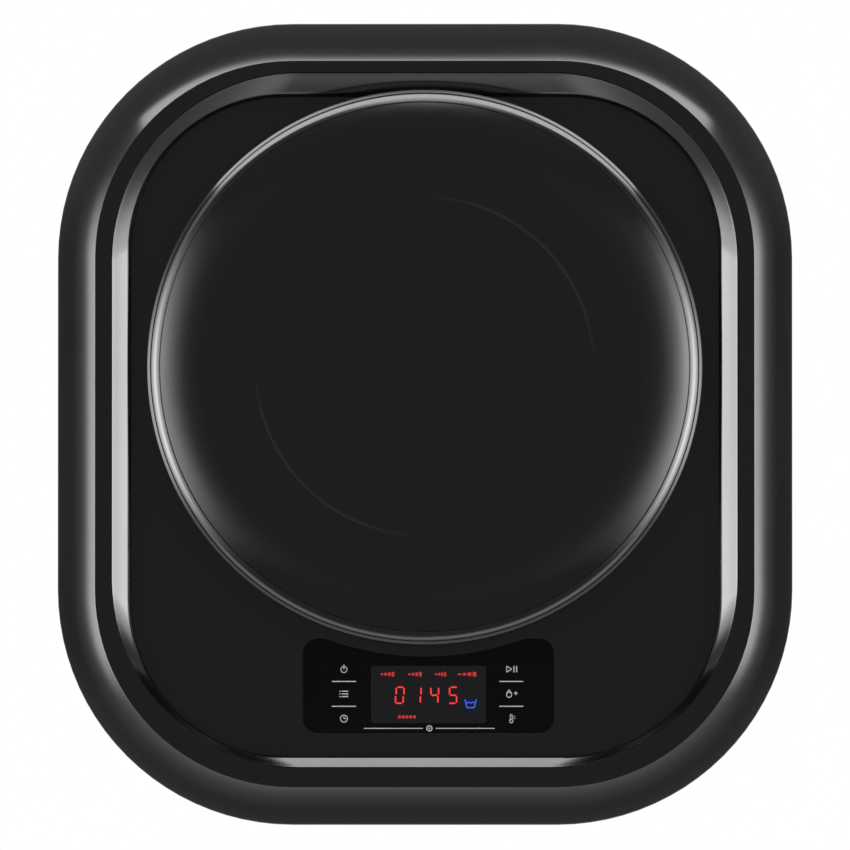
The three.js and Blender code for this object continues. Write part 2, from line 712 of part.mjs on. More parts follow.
// Door frame: the ring behind the cover that holds the glass bowl.
const CHANNEL_GAP = 14;
const CHANNEL_RIM = 12.2;
const channelInner = GLASS_RADIUS + GLASS_FLANGE + CHANNEL_GAP;
const rimRadius = trimInner - GAP;
const channelOuter = rimRadius - CHANNEL_RIM;
const flangeSeatRadius = GLASS_RADIUS + GLASS_FLANGE + GAP;
const doorFrame = turned([
  [GLASS_RADIUS + 2 * GAP, DOOR_BACK],
  [DOOR_RADIUS - DOOR_BACK_STEP, DOOR_BACK],
  [panelTopReach - FOOT_SPACE, bevelFoot - 0.5],
  [frameRadius, trimBack - GAP],
  [rimRadius, trimBack - GAP],
  [rimRadius, frameFront],
  [channelOuter, frameFront],
  [channelOuter, glassSeat],
  [channelInner, glassSeat],
  [channelInner, frameFront],
  [flangeSeatRadius, frameFront],
  [flangeSeatRadius, glassSeat],
  [GLASS_RADIUS + 2 * GAP, glassSeat],
]);
piece("door_frame", cut(doorFrame, hingeNotch()), 0x1a1b1e, 0.45);

// Glass bowl that reaches into the drum mouth.
const glassBack = glassSeat + GAP;
const glassBottom = DOOR_BACK - GLASS_REACH;
const doorGlass = turned([
  [0, glassBottom],
  [GLASS_RADIUS - 41, glassBottom + 2],
  [GLASS_RADIUS - 18, glassBottom + 8],
  [GLASS_RADIUS - 5, glassBottom + 27],
  [GLASS_RADIUS, glassBottom + 50],
  [GLASS_RADIUS, glassBack],
  [GLASS_RADIUS + GLASS_FLANGE, glassBack],
  [GLASS_RADIUS + GLASS_FLANGE, glassBack + GLASS_WALL],
  [GLASS_RADIUS - GLASS_WALL, glassBack + GLASS_WALL],
  [GLASS_RADIUS - GLASS_WALL - 0.3, glassBottom + 50.5],
  [GLASS_RADIUS - 9, glassBottom + 29],
  [GLASS_RADIUS - 21, glassBottom + 11.5],
  [GLASS_RADIUS - 42, glassBottom + 2 + GLASS_WALL],
  [0, glassBottom + GLASS_WALL],
]);
piece("door_glass", doorGlass, 0x3a4044, 0.05);

// Hinge: bracket with two ears, the pin through them and the leaf on the door.
const LEAF_THICKNESS = 2.5;
const LEAF_LENGTH = 47;
const leafEnd = HINGE_X + LEAF_LENGTH;
const LEAF_HALF = 20;
const BRACKET_THICKNESS = 3;
const BRACKET_HALF_HEIGHT = 45;
const BRACKET_MARGIN = 14;
const leafFront = DOOR_BACK - GAP;
const pinHole = HINGE_PIN_RADIUS + GAP;
let bracket = block(
  HINGE_X - BRACKET_MARGIN / 2,
  HINGE_X + BRACKET_MARGIN,
  behindPanel - BRACKET_THICKNESS,
  behindPanel,
  AXIS_Z - BRACKET_HALF_HEIGHT,
  AXIS_Z + BRACKET_HALF_HEIGHT,
);
for (const side of [-1, 1]) {
  const low = AXIS_Z + Math.min(side * earStart, side * earEnd);
  const high = AXIS_Z + Math.max(side * earStart, side * earEnd);
  const stem = block(
    HINGE_X - KNUCKLE_RADIUS,
    HINGE_X + KNUCKLE_RADIUS,
    behindPanel - 1,
    HINGE_DEPTH,
    low,
    high,
  );
  bracket = join(bracket, stem, uprightBar(KNUCKLE_RADIUS, low, high, HINGE_X, HINGE_DEPTH));
}
bracket = cut(bracket, uprightBar(pinHole, AXIS_Z - 60, AXIS_Z + 60, HINGE_X, HINGE_DEPTH));
piece("hinge_bracket", bracket, 0x8a8d90, 0.35, 0.9);
const pinHalf = earEnd + 1;
const hingePin = uprightBar(HINGE_PIN_RADIUS, AXIS_Z - pinHalf, AXIS_Z + pinHalf, HINGE_X, HINGE_DEPTH);
piece("hinge_pin", hingePin, 0xb4b6b8, 0.25, 0.95);
const barrelLow = AXIS_Z - BARREL_HALF;
const barrelHigh = AXIS_Z + BARREL_HALF;
const leafBack = leafFront - LEAF_THICKNESS;
const webX = HINGE_X + KNUCKLE_RADIUS - 1;
const leaf = cut(
  join(
    uprightBar(KNUCKLE_RADIUS, barrelLow, barrelHigh, HINGE_X, HINGE_DEPTH),
    block(HINGE_X - 3, webX, leafBack, HINGE_DEPTH - 1, barrelLow, barrelHigh),
    block(HINGE_X - 3, leafEnd, leafBack, leafFront, AXIS_Z - LEAF_HALF, AXIS_Z + LEAF_HALF),
  ),
  uprightBar(pinHole, AXIS_Z - 60, AXIS_Z + 60, HINGE_X, HINGE_DEPTH),
);
piece("hinge_leaf", leaf, 0x8a8d90, 0.35, 0.9);

// Strike on the door, lock case behind the fascia, and the lock's sliding pin.
const STRIKE_PLATE_HALF = 12;
const PIN_SPARE = 1;
const strikeTop = AXIS_Z + STRIKE_HEIGHT / 2;
const strikeBottom = AXIS_Z - STRIKE_HEIGHT / 2;
const windowReach = LOCK_PIN_RADIUS + PIN_SPARE;
const strike = cut(
  join(
    block(
      STRIKE_X - STRIKE_PLATE_HALF,
      STRIKE_X + STRIKE_PLATE_HALF,
      leafBack,
      leafFront,
      AXIS_Z - STRIKE_PLATE_HALF,
      AXIS_Z + STRIKE_PLATE_HALF,
    ),
    block(strikeLeft, strikeRight, STRIKE_REACH, leafFront, strikeBottom, strikeTop),
  ),
  block(
    strikeLeft - 1,
    strikeRight + 1,
    LOCK_PIN_DEPTH - windowReach,
    LOCK_PIN_DEPTH + windowReach,
    AXIS_Z - windowReach,
    AXIS_Z + windowReach,
  ),
);
piece("door_strike", strike, 0x8a8d90, 0.35, 0.9);
const LOCK_LENGTH = 28;
const LOCK_HALF_HEIGHT = 25;
const LOCK_LEFT_SIDE = 14;
const LOCK_RIGHT_SIDE = 18;
const lockBack = PANEL_DEPTH - LOCK_LENGTH;
const lockLeft = STRIKE_X - LOCK_LEFT_SIDE;
const lockRight = STRIKE_X + LOCK_RIGHT_SIDE;
const lockCavityRight = strikeRight + SLOT_SPARE_X;
const pinRest = lockCavityRight + GAP;
const pinBore = LOCK_PIN_RADIUS + GAP;
const lock = cut(
  block(
    lockLeft,
    lockRight,
    lockBack,
    behindPanel,
    AXIS_Z - LOCK_HALF_HEIGHT,
    AXIS_Z + LOCK_HALF_HEIGHT,
  ),
  block(
    strikeLeft - SLOT_SPARE_X,
    lockCavityRight,
    STRIKE_REACH - 4,
    behindPanel + 1,
    AXIS_Z - slotHalfHeight,
    AXIS_Z + slotHalfHeight,
  ),
  crossBar(pinBore, lockCavityRight - 1, lockRight + 1, LOCK_PIN_DEPTH, AXIS_Z),
);
piece("door_lock", lock, 0x2b2d31, 0.5);
const lockPin = crossBar(LOCK_PIN_RADIUS, pinRest, lockRight + 2, LOCK_PIN_DEPTH, AXIS_Z);
piece("lock_pin", lockPin, 0xb4b6b8, 0.25, 0.95);

// ---------------------------------------------------------------- Controls

const CONTROL_GREY = 0x0d0d0e;
const housingWall = 2;
const keyFlangeFront = behindPanel;
const stemEnd = keyFlangeFront - KEY_FLANGE - 3.4;
const boardFront = stemEnd - KEY_TRAVEL - GAP - 2;
const DISPLAY_THICKNESS = 2.6;
const windowBack = keyBack - DISPLAY_THICKNESS;

// A rectangle block seen from the front, between two depths.
function plate(width, height, corner, x, z, depth0, depth1) {
  return slab(roundedOutline(width, height, corner, x, z), depth0, depth1, 1);
}

let control = slab(controlOutline(0), panelBack, keyBack, 6);
control = cut(
  control,
  plate(
    DISPLAY_WIDTH + 2 * GAP,
    DISPLAY_HEIGHT + 2 * GAP,
    2,
    CONTROL_CENTRE_X,
    DISPLAY_CENTRE_Z,
    panelBack - 1,
    keyBack + 1,
  ),
);
for (const x of KEY_COLUMNS) {
  for (const z of KEY_ROWS) {
    const width = KEY_WIDTH + 2 * GAP;
    const height = KEY_HEIGHT + 2 * GAP;
    control = cut(control, plate(width, height, 1.5, x, z, panelBack - 1, keyBack + 1));
  }
}
piece("control_fascia", control, CONTROL_GREY, 0.2);

const displayWindow = plate(
  DISPLAY_WIDTH,
  DISPLAY_HEIGHT,
  2,
  CONTROL_CENTRE_X,
  DISPLAY_CENTRE_Z,
  windowBack,
  keyBack,
);
piece("display_window", displayWindow, 0x191920, 0.1);

// Six keys, each a cap with a flange behind the panel and a stem onto its switch.
const keyNames = ["power", "program", "delay", "start", "rinse", "heat"];
const keyPlaces = KEY_COLUMNS.flatMap((x) => KEY_ROWS.map((z) => [x, z]));
keyPlaces.forEach(([x, z], i) => {
  const key = join(
    plate(KEY_WIDTH, KEY_HEIGHT, 1.5, x, z, keyFlangeFront - KEY_FLANGE, keyBack),
    plate(KEY_WIDTH + 2, KEY_HEIGHT + 2, 2, x, z, keyFlangeFront - KEY_FLANGE, keyFlangeFront),
    bar(KEY_STEM_RADIUS, stemEnd, keyFlangeFront - KEY_FLANGE / 2, x, z, 12),
  );
  piece(`key_${keyNames[i]}`, key, CONTROL_GREY, 0.2);
});

// Board with the display module and the six switches.
const HOUSING_HALF_WIDTH = CONTROL_WIDTH / 2 - 1;
const HOUSING_HEIGHT = 60.4;
const housingBottom = CONTROL_BOTTOM - 1;
const housingTop = housingBottom + HOUSING_HEIGHT;
const housingLeft = CONTROL_CENTRE_X - HOUSING_HALF_WIDTH;
const housingRight = CONTROL_CENTRE_X + HOUSING_HALF_WIDTH;
const housingBack = boardFront - 1.6 - 3;
const BOARD_MARGIN = housingWall + GAP;
let displayBoard = join(
  block(
    housingLeft + BOARD_MARGIN,
    housingRight - BOARD_MARGIN,
    boardFront - 1.6,
    boardFront,
    housingBottom + BOARD_MARGIN,
    housingTop - BOARD_MARGIN,
  ),
  block(
    CONTROL_CENTRE_X - DISPLAY_WIDTH / 2 + 2,
    CONTROL_CENTRE_X + DISPLAY_WIDTH / 2 - 2,
    boardFront - 1,
    windowBack - GAP,
    DISPLAY_CENTRE_Z - DISPLAY_HEIGHT / 2 + 2,
    DISPLAY_CENTRE_Z + DISPLAY_HEIGHT / 2 - 2,
  ),
);
for (const [x, z] of keyPlaces) {
  displayBoard = join(displayBoard, block(x - 3, x + 3, boardFront - 1, boardFront + 2, z - 3, z + 3));
}
piece("display_board", displayBoard, 0x1f5a3a, 0.6);

const STANDOFF = 2.5;
let housing = cut(
  block(
    housingLeft,
    housingRight,
    housingBack - housingWall,
    behindPanel,
    housingBottom,
    housingTop,
  ),
  block(
    housingLeft + housingWall,
    housingRight - housingWall,
    housingBack,
    behindPanel + 1,
    housingBottom + housingWall,
    housingTop - housingWall,
  ),
  block(-10, 15, housingBack - 3, housingBack + 1, DISPLAY_CENTRE_Z - 4, DISPLAY_CENTRE_Z + 4),
);
for (const x of [housingLeft + 8, housingRight - 8]) {
  for (const z of [housingBottom + 8, housingTop - 8]) {
    housing = join(housing, bar(STANDOFF, housingBack - 1, boardFront - 1.6 - GAP, x, z, 8));
  }
}
piece("control_housing", housing, 0x222326, 0.6);

// ---------------------------------------------------------------- Tub

const TUB_GREY = 0xb9bcc0;
const STEEL = 0xb9bcbe;
const tubInner = TUB_RADIUS - TUB_WALL;
const tubFloor = TUB_BACK + TUB_BACK_WALL;
const hubBack = TUB_BACK - 5;
const rearBearing = hubBack + 1;
const frontBearing = rearBearing + BEARING_WIDTH + 1;
const sealStart = frontBearing + BEARING_WIDTH + GAP;
const hubFront = sealStart + SEAL_WIDTH;
const bearingBore = BEARING_RADIUS + GAP;
const flangeRadius = TUB_RADIUS + TUB_FLANGE;
const sumpBottom = AXIS_Z - TUB_RADIUS - SUMP_DROP;
const HEATER_SPACING = 18;
const HEATER_Z = sumpBottom + 14;
const heaterHole = HEATER_RADIUS + 0.4;

// Rear half: drum wall, back wall, bearing hub, four lugs and the sump pocket.
let tubRear = turned([
  [bearingBore, hubBack],
  [HUB_RADIUS, hubBack],
  [HUB_RADIUS, TUB_BACK],
  [TUB_RADIUS, TUB_BACK],
  [TUB_RADIUS, TUB_SPLIT - TUB_FLANGE_THICKNESS],
  [flangeRadius, TUB_SPLIT - TUB_FLANGE_THICKNESS],
  [flangeRadius, TUB_SPLIT - GAP / 2],
  [tubInner, TUB_SPLIT - GAP / 2],
  [tubInner, tubFloor],
  [HUB_RADIUS, tubFloor],
  [HUB_RADIUS, hubFront],
  [SEAL_RADIUS + GAP, hubFront],
  [SEAL_RADIUS + GAP, sealStart - GAP],
  [bearingBore, sealStart - GAP],
]);
for (const angle of LUG_ANGLES) {
  const [x, z] = lugPlace(angle);
  const lugBack = LUG_DEPTH + GAP;
  const lugFront = lugBack + LUG_THICKNESS;
  tubRear = join(tubRear, bar(LUG_RADIUS, lugBack, lugFront, x, z, 16));
}
const bowlSpace = bar(tubInner, tubFloor, TUB_SPLIT, 0, AXIS_Z, FINE);
const sumpOuter = block(
  -SUMP_HALF_WIDTH,
  SUMP_HALF_WIDTH,
  TUB_BACK,
  SUMP_FRONT,
  sumpBottom,
  AXIS_Z - TUB_RADIUS + 10,
);
const sumpInner = block(
  -SUMP_HALF_WIDTH + TUB_WALL,
  SUMP_HALF_WIDTH - TUB_WALL,
  tubFloor,
  SUMP_FRONT - TUB_WALL,
  sumpBottom + TUB_WALL,
  AXIS_Z - TUB_RADIUS + 12,
);
tubRear = cut(
  join(tubRear, cut(sumpOuter, bowlSpace)),
  sumpInner,
  crossBar(HOSE_RADIUS, SUMP_HALF_WIDTH - TUB_WALL - 1, SUMP_HALF_WIDTH + 1, HOSE_PORT_DEPTH, HEATER_Z),
);
for (const angle of LUG_ANGLES) {
  const [x, z] = lugPlace(angle);
  tubRear = cut(tubRear, bar(STUD_RADIUS + GAP, LUG_DEPTH, LUG_DEPTH + LUG_THICKNESS + 1, x, z));
}
for (const x of [-HEATER_SPACING, HEATER_SPACING]) {
  tubRear = cut(tubRear, bar(heaterHole, TUB_BACK - 1, tubFloor + 1, x, HEATER_Z, 12));
}
piece("tub_rear", tubRear, TUB_GREY, 0.55);

// Front half, welded to the rear half at the flange: short wall, cone and the gasket's collar.
const tubFront = turned([
  [tubInner, TUB_SPLIT + GAP / 2],
  [flangeRadius, TUB_SPLIT + GAP / 2],
  [flangeRadius, TUB_SPLIT + TUB_FLANGE_THICKNESS],
  [TUB_RADIUS, TUB_SPLIT + TUB_FLANGE_THICKNESS],
  [TUB_RADIUS, TUB_SHOULDER],
  [TUB_MOUTH_RADIUS, TUB_MOUTH_DEPTH],
  [TUB_MOUTH_RADIUS, TUB_COLLAR_END],
  [TUB_MOUTH_RADIUS - TUB_WALL, TUB_COLLAR_END],
  [TUB_MOUTH_RADIUS - TUB_WALL, TUB_MOUTH_DEPTH - 2],
  [tubInner, TUB_SHOULDER - 1],
]);
piece("tub_front", tubFront, TUB_GREY, 0.55);

// Rubber gasket from the tub's collar to the panel, with its lip round the glass.
const footInner = TUB_MOUTH_RADIUS + GAP;
const footOuter = footInner + 2.8;
const footStart = TUB_COLLAR_END - 5;
const GASKET_STEP = 2;
const gasketOuter = TUB_MOUTH_RADIUS - GASKET_STEP;
const gasketWall = 3.5;
const boreRadius = 5;
const boreDepth = behindPanel - boreRadius;
let gasket = turned([
  [footInner, footStart],
  [footOuter, footStart],
  [footOuter, TUB_COLLAR_END + 2],
  [gasketOuter, TUB_COLLAR_END + 7],
  [gasketOuter, behindPanel],
  [GLASS_RADIUS + 3, behindPanel],
  [GLASS_RADIUS + 1.2, behindPanel - 2.9],
  [GLASS_RADIUS + 3.5, behindPanel - 3.9],
  [gasketOuter - gasketWall, behindPanel - 3.4],
  [gasketOuter - gasketWall, TUB_COLLAR_END + 5],
  [TUB_MOUTH_RADIUS - TUB_WALL, TUB_COLLAR_END + GAP],
  [footInner, TUB_COLLAR_END + GAP],
]);
gasket = cut(
  gasket,
  uprightBar(2.5, AXIS_Z + gasketOuter - 8, AXIS_Z + gasketOuter + 2, 0, boreDepth, 10),
);
piece("door_gasket", gasket, 0x4a4d50, 0.85);
const clampInner = footOuter + GAP;
const gasketClamp = turned([
  [clampInner, footStart + 1],
  [clampInner + 2.4, footStart + 1],
  [clampInner + 2.4, footStart + 4],
  [clampInner, footStart + 4],
]);
piece("gasket_clamp", gasketClamp, STEEL, 0.3, 0.9);

// ---------------------------------------------------------------- Drum

const shaftBore = SHAFT_RADIUS + GAP;
const spiderHubStart = hubFront + 2;
const armStart = spiderHubStart + 1;
const armEnd = armStart + SPIDER_THICKNESS;
const drumBack = armEnd + GAP;
const shellEdge = drumBack - 6;
const shellOuter = DRUM_RADIUS + DRUM_WALL;

const shell = turned([
  [DRUM_RADIUS, shellEdge],
  [shellOuter, shellEdge],
  [shellOuter, DRUM_FRONT],
  [DRUM_RADIUS, DRUM_FRONT],
]);
piece("drum_shell", shell, STEEL, 0.25, 0.95);
const frontSeat = DRUM_FRONT + GAP;
const drumFront = turned([
  [DRUM_RADIUS, frontSeat],
  [shellOuter, frontSeat],
  [shellOuter, frontSeat + DRUM_WALL],
  [DRUM_LIP_RADIUS, DRUM_LIP_DEPTH],
  [DRUM_LIP_RADIUS, DRUM_LIP_DEPTH - DRUM_WALL],
]);
piece("drum_front", drumFront, STEEL, 0.25, 0.95);
piece("drum_back", bar(DRUM_RADIUS - GAP, drumBack, drumBack + DRUM_WALL, 0, AXIS_Z, FINE), STEEL, 0.3, 0.95);

// Lifters along the drum wall.
const drumFlat = DRUM_RADIUS * Math.cos(Math.PI / FINE) - GAP;
const lifterSeat = Math.sqrt(drumFlat ** 2 - (LIFTER_BASE / 2) ** 2);
for (let i = 0; i < LIFTER_COUNT; i += 1) {
  const outline = new THREE.Shape();
  outline.moveTo(-LIFTER_BASE / 2, -lifterSeat);
  outline.lineTo(LIFTER_BASE / 2, -lifterSeat);
  outline.lineTo(LIFTER_CREST / 2, -lifterSeat + LIFTER_HEIGHT);
  outline.lineTo(-LIFTER_CREST / 2, -lifterSeat + LIFTER_HEIGHT);
  const geometry = new THREE.ExtrudeGeometry(outline, {
    depth: DRUM_FRONT - drumBack - 2 * DRUM_WALL - 2,
    bevelEnabled: false,
  });
  geometry.rotateX(Math.PI / 2);
  geometry.rotateY((2 * Math.PI * i) / LIFTER_COUNT);
  geometry.translate(0, -drumBack - DRUM_WALL - GAP, AXIS_Z);
  piece(`drum_lifter_${i + 1}`, solid(geometry), 0xd8dadb, 0.4);
}

// Spider: a hub with three arms that carries the drum's back.
const armReach = DRUM_RADIUS - 4;
let spider = bar(SPIDER_HUB_RADIUS, spiderHubStart, armEnd, 0, AXIS_Z, MEDIUM);
for (let i = 0; i < LIFTER_COUNT; i += 1) {
  const half = SPIDER_ARM_WIDTH / 2;
  const arm = new THREE.BoxGeometry(SPIDER_ARM_WIDTH, SPIDER_THICKNESS, armReach - half);
  arm.translate(0, -(armStart + armEnd) / 2, -(armReach - half) / 2);
  arm.rotateY((2 * Math.PI * i) / LIFTER_COUNT);
  arm.translate(0, 0, AXIS_Z);
  spider = join(spider, solid(arm));
}
spider = cut(spider, bar(shaftBore, 0, DRUM_FRONT, 0, AXIS_Z));
piece("drum_spider", spider, 0x9da0a3, 0.45, 0.8);

const BOLT_RADIUS = 4;
const shaftStart = PULLEY_START - 1;
const shaft = cut(
  bar(SHAFT_RADIUS, shaftStart, armEnd, 0, AXIS_Z),
  bar(BOLT_RADIUS + GAP, shaftStart - 1, shaftStart + 16, 0, AXIS_Z, 12),
);
piece("drum_shaft", shaft, 0xa4a6a8, 0.3, 0.95);

// A bearing ring round the shaft.
function bearing(start) {
  const ring = bar(BEARING_RADIUS, start, start + BEARING_WIDTH, 0, AXIS_Z, MEDIUM);
  return cut(ring, bar(shaftBore, start - 1, start + BEARING_WIDTH + 1, 0, AXIS_Z));
}
piece("bearing_rear", bearing(rearBearing), 0xc4c6c8, 0.2, 1);
piece("bearing_front", bearing(frontBearing), 0xc4c6c8, 0.2, 1);
const shaftSeal = cut(
  bar(SEAL_RADIUS, sealStart, hubFront - GAP, 0, AXIS_Z, MEDIUM),
  bar(shaftBore, sealStart - 1, hubFront + 1, 0, AXIS_Z),
);
piece("shaft_seal", shaftSeal, 0x202020, 0.85);

// Pulley with a rim, a thin web and a hub, and the bolt that holds it.
const pulleyEnd = PULLEY_START + PULLEY_WIDTH;
const webStart = PULLEY_START + (PULLEY_WIDTH - PULLEY_WEB) / 2;
const pulley = turned(
  [
    [shaftBore, PULLEY_START],
    [2 * SHAFT_RADIUS, PULLEY_START],
    [2 * SHAFT_RADIUS, webStart],
    [PULLEY_RADIUS - PULLEY_RIM, webStart],
    [PULLEY_RADIUS - PULLEY_RIM, PULLEY_START],
    [PULLEY_RADIUS, PULLEY_START],
    [PULLEY_RADIUS, pulleyEnd],
    [PULLEY_RADIUS - PULLEY_RIM, pulleyEnd],
    [PULLEY_RADIUS - PULLEY_RIM, webStart + PULLEY_WEB],
    [2 * SHAFT_RADIUS, webStart + PULLEY_WEB],
    [2 * SHAFT_RADIUS, pulleyEnd],
    [shaftBore, pulleyEnd],
  ],
  FINE,
);
piece("drum_pulley", pulley, 0xa9acaf, 0.4, 0.8);
const boltHeadEnd = shaftStart - GAP;
const bolt = join(
  bar(1.4 * SHAFT_RADIUS, boltHeadEnd - 6, boltHeadEnd, 0, AXIS_Z, 6),
  bar(BOLT_RADIUS, boltHeadEnd - 1, shaftStart + 14, 0, AXIS_Z, 12),
);
piece("pulley_bolt", bolt, 0x9b9da0, 0.35, 0.9);

// ---------------------------------------------------------------- Drive

// The outline of an open belt run round two pulleys, grown by a margin.
function beltOutline(margin) {
  const big = PULLEY_RADIUS + margin;
  const small = MOTOR_PULLEY_RADIUS + margin;
  const dx = MOTOR_X;
  const dz = MOTOR_Z - AXIS_Z;
  const span = Math.hypot(dx, dz);
  const heading = Math.atan2(dz, dx);
  const wrap = Math.acos((big - small) / span);
  const shape = new THREE.Shape();
  shape.absarc(0, AXIS_Z, big, heading + wrap, heading - wrap + 2 * Math.PI);
  shape.absarc(MOTOR_X, MOTOR_Z, small, heading - wrap, heading + wrap);
  return shape;
}
const beltStart = PULLEY_START + (PULLEY_WIDTH - BELT_WIDTH) / 2;
const belt = cut(
  slab(beltOutline(BELT_RIDE + BELT_THICKNESS), beltStart, beltStart + BELT_WIDTH, 12),
  slab(beltOutline(BELT_RIDE), beltStart - 1, beltStart + BELT_WIDTH + 1, 12),
);
piece("drive_belt", belt, 0x1c1c1c, 0.9);

// Motor: stator case on two legs from the rear panel, and the rotor whose shaft ends in the
// small pulley.
const motorEnd = MOTOR_START + MOTOR_LENGTH;
const away = Math.atan2(MOTOR_Z - AXIS_Z, MOTOR_X);
const MOTOR_LEG_RADIUS = 8;
const MOTOR_LEG_TURNS = [radians(45), radians(-108)];
let stator = bar(MOTOR_RADIUS, MOTOR_START, motorEnd, MOTOR_X, MOTOR_Z, MEDIUM);
stator = cut(
  stator,
  bar(
    ROTOR_RADIUS + ROTOR_AIR,
    MOTOR_START + MOTOR_END_WALL,
    motorEnd - MOTOR_END_WALL,
    MOTOR_X,
    MOTOR_Z,
  ),
  bar(MOTOR_SHAFT_RADIUS + GAP, MOTOR_START - 1, motorEnd + 1, MOTOR_X, MOTOR_Z),
);
for (const turn of MOTOR_LEG_TURNS) {
  const reach = MOTOR_RADIUS - MOTOR_LEG_RADIUS - 2;
  const x = MOTOR_X + reach * Math.cos(away + turn);
  const z = MOTOR_Z + reach * Math.sin(away + turn);
  stator = join(stator, bar(MOTOR_LEG_RADIUS, REAR_FLOOR + GAP, MOTOR_START + 1, x, z, 12));
}
piece("motor_stator", stator, 0x6f7377, 0.45, 0.7);
const rotor = join(
  bar(
    ROTOR_RADIUS,
    MOTOR_START + MOTOR_END_WALL + 2,
    motorEnd - MOTOR_END_WALL - 2,
    MOTOR_X,
    MOTOR_Z,
  ),
  bar(MOTOR_SHAFT_RADIUS, PULLEY_START, motorEnd + 1, MOTOR_X, MOTOR_Z),
  bar(MOTOR_PULLEY_RADIUS, PULLEY_START, pulleyEnd, MOTOR_X, MOTOR_Z),
);
piece("motor_rotor", rotor, 0x9fa2a5, 0.35, 0.9);
// ---------------------------------------------------------------- Water and power

const floorSeat = REAR_FLOOR + GAP;
const VALVE_HALF_WIDTH = 17;
const VALVE_SET_IN = 30;
const VALVE_HEIGHT = 24;
const VALVE_FRONT = 44;
const VALVE_OUTLET_SIDE = 9;
const VALVE_OUTLET_RISE = 11;
const valveTop = PORT_HEIGHT - VALVE_SET_IN;
const valveBottom = valveTop - VALVE_HEIGHT;
const outletX = INLET_X + VALVE_OUTLET_SIDE;
const outletZ = valveBottom + VALVE_OUTLET_RISE;
const inletValve = join(
  block(
    INLET_X - VALVE_HALF_WIDTH,
    INLET_X + VALVE_HALF_WIDTH,
    floorSeat,
    VALVE_FRONT,
    valveBottom,
    valveTop,
  ),
  uprightBar(INLET_RADIUS, valveTop - 1, PORT_HEIGHT, INLET_X, PORT_DEPTH),
  bar(HOSE_RADIUS, VALVE_FRONT - 1, VALVE_FRONT + 8, outletX, outletZ, 12),
);
const inletBore = uprightBar(9, valveTop - 10, PORT_HEIGHT + 1, INLET_X, PORT_DEPTH);
piece("inlet_valve", cut(inletValve, inletBore), 0xd9dadc, 0.5);

// Detergent case behind the panel, filled through two ports that the open door uncovers.
const DETERGENT_LEFT = -70;
const DETERGENT_RIGHT = 62;
const DETERGENT_HEIGHT = 37;
const DETERGENT_LENGTH = 21.7;
const DETERGENT_TOP = DETERGENT_BOTTOM + DETERGENT_HEIGHT;
const DETERGENT_BACK = behindPanel - DETERGENT_LENGTH;
const DETERGENT_WALL = 2;
const CHAMBER_SPLIT = (PORT_XS[0] + PORT_XS[1]) / 2;
let detergent = block(
  DETERGENT_LEFT,
  DETERGENT_RIGHT,
  DETERGENT_BACK,
  behindPanel,
  DETERGENT_BOTTOM,
  DETERGENT_TOP,
);
const chambers = [
  [DETERGENT_LEFT + DETERGENT_WALL, CHAMBER_SPLIT - DETERGENT_WALL / 2],
  [CHAMBER_SPLIT + DETERGENT_WALL / 2, DETERGENT_RIGHT - DETERGENT_WALL],
];
for (const [left, right] of chambers) {
  detergent = cut(
    detergent,
    block(
      left,
      right,
      DETERGENT_BACK + DETERGENT_WALL,
      behindPanel - DETERGENT_WALL,
      DETERGENT_BOTTOM + DETERGENT_WALL,
      DETERGENT_TOP - DETERGENT_WALL,
    ),
  );
}
for (const x of PORT_XS) {
  detergent = cut(
    detergent,
    block(
      x - PORT_HALF,
      x + PORT_HALF,
      behindPanel - 3,
      behindPanel + 1,
      PORT_Z - PORT_HALF,
      PORT_Z + PORT_HALF,
    ),
  );
}
detergent = cut(
  detergent,
  uprightBar(3, DETERGENT_BOTTOM - 1, DETERGENT_BOTTOM + 3, 0, boreDepth, 10),
);
piece("detergent_case", detergent, 0xe2e3e4, 0.5);

// Short rubber boot from the detergent case down to the gasket.
const bootLow = AXIS_Z + gasketOuter + GAP;
const fillBoot = cut(
  uprightBar(boreRadius, bootLow, DETERGENT_BOTTOM - GAP, 0, boreDepth, 12),
  uprightBar(2.5, bootLow - 1, DETERGENT_BOTTOM + 1, 0, boreDepth, 10),
);
piece("fill_boot", fillBoot, 0x2a2a2a, 0.85);

const HOSE_END_SET_BACK = 14;
const hoseEndDepth = PANEL_DEPTH - HOSE_END_SET_BACK;
const hoseEndZ = DETERGENT_TOP - HOSE_END_SET_BACK;
const feedHose = hose(
  HOSE_RADIUS,
  [
    [outletX, VALVE_FRONT + 8 + GAP, outletZ],
    [outletX, VALVE_FRONT + 24, outletZ],
    [outletX + 4, VALVE_FRONT + 56, outletZ - 6],
    [outletX + 2, hoseEndDepth - 60, outletZ - 7],
    [outletX - 22, hoseEndDepth - 8, outletZ - 11],
    [DETERGENT_RIGHT + 12, hoseEndDepth, hoseEndZ],
    [DETERGENT_RIGHT + GAP, hoseEndDepth, hoseEndZ],
  ],
  16,
);
piece("feed_hose", feedHose, 0x3b3d40, 0.8);

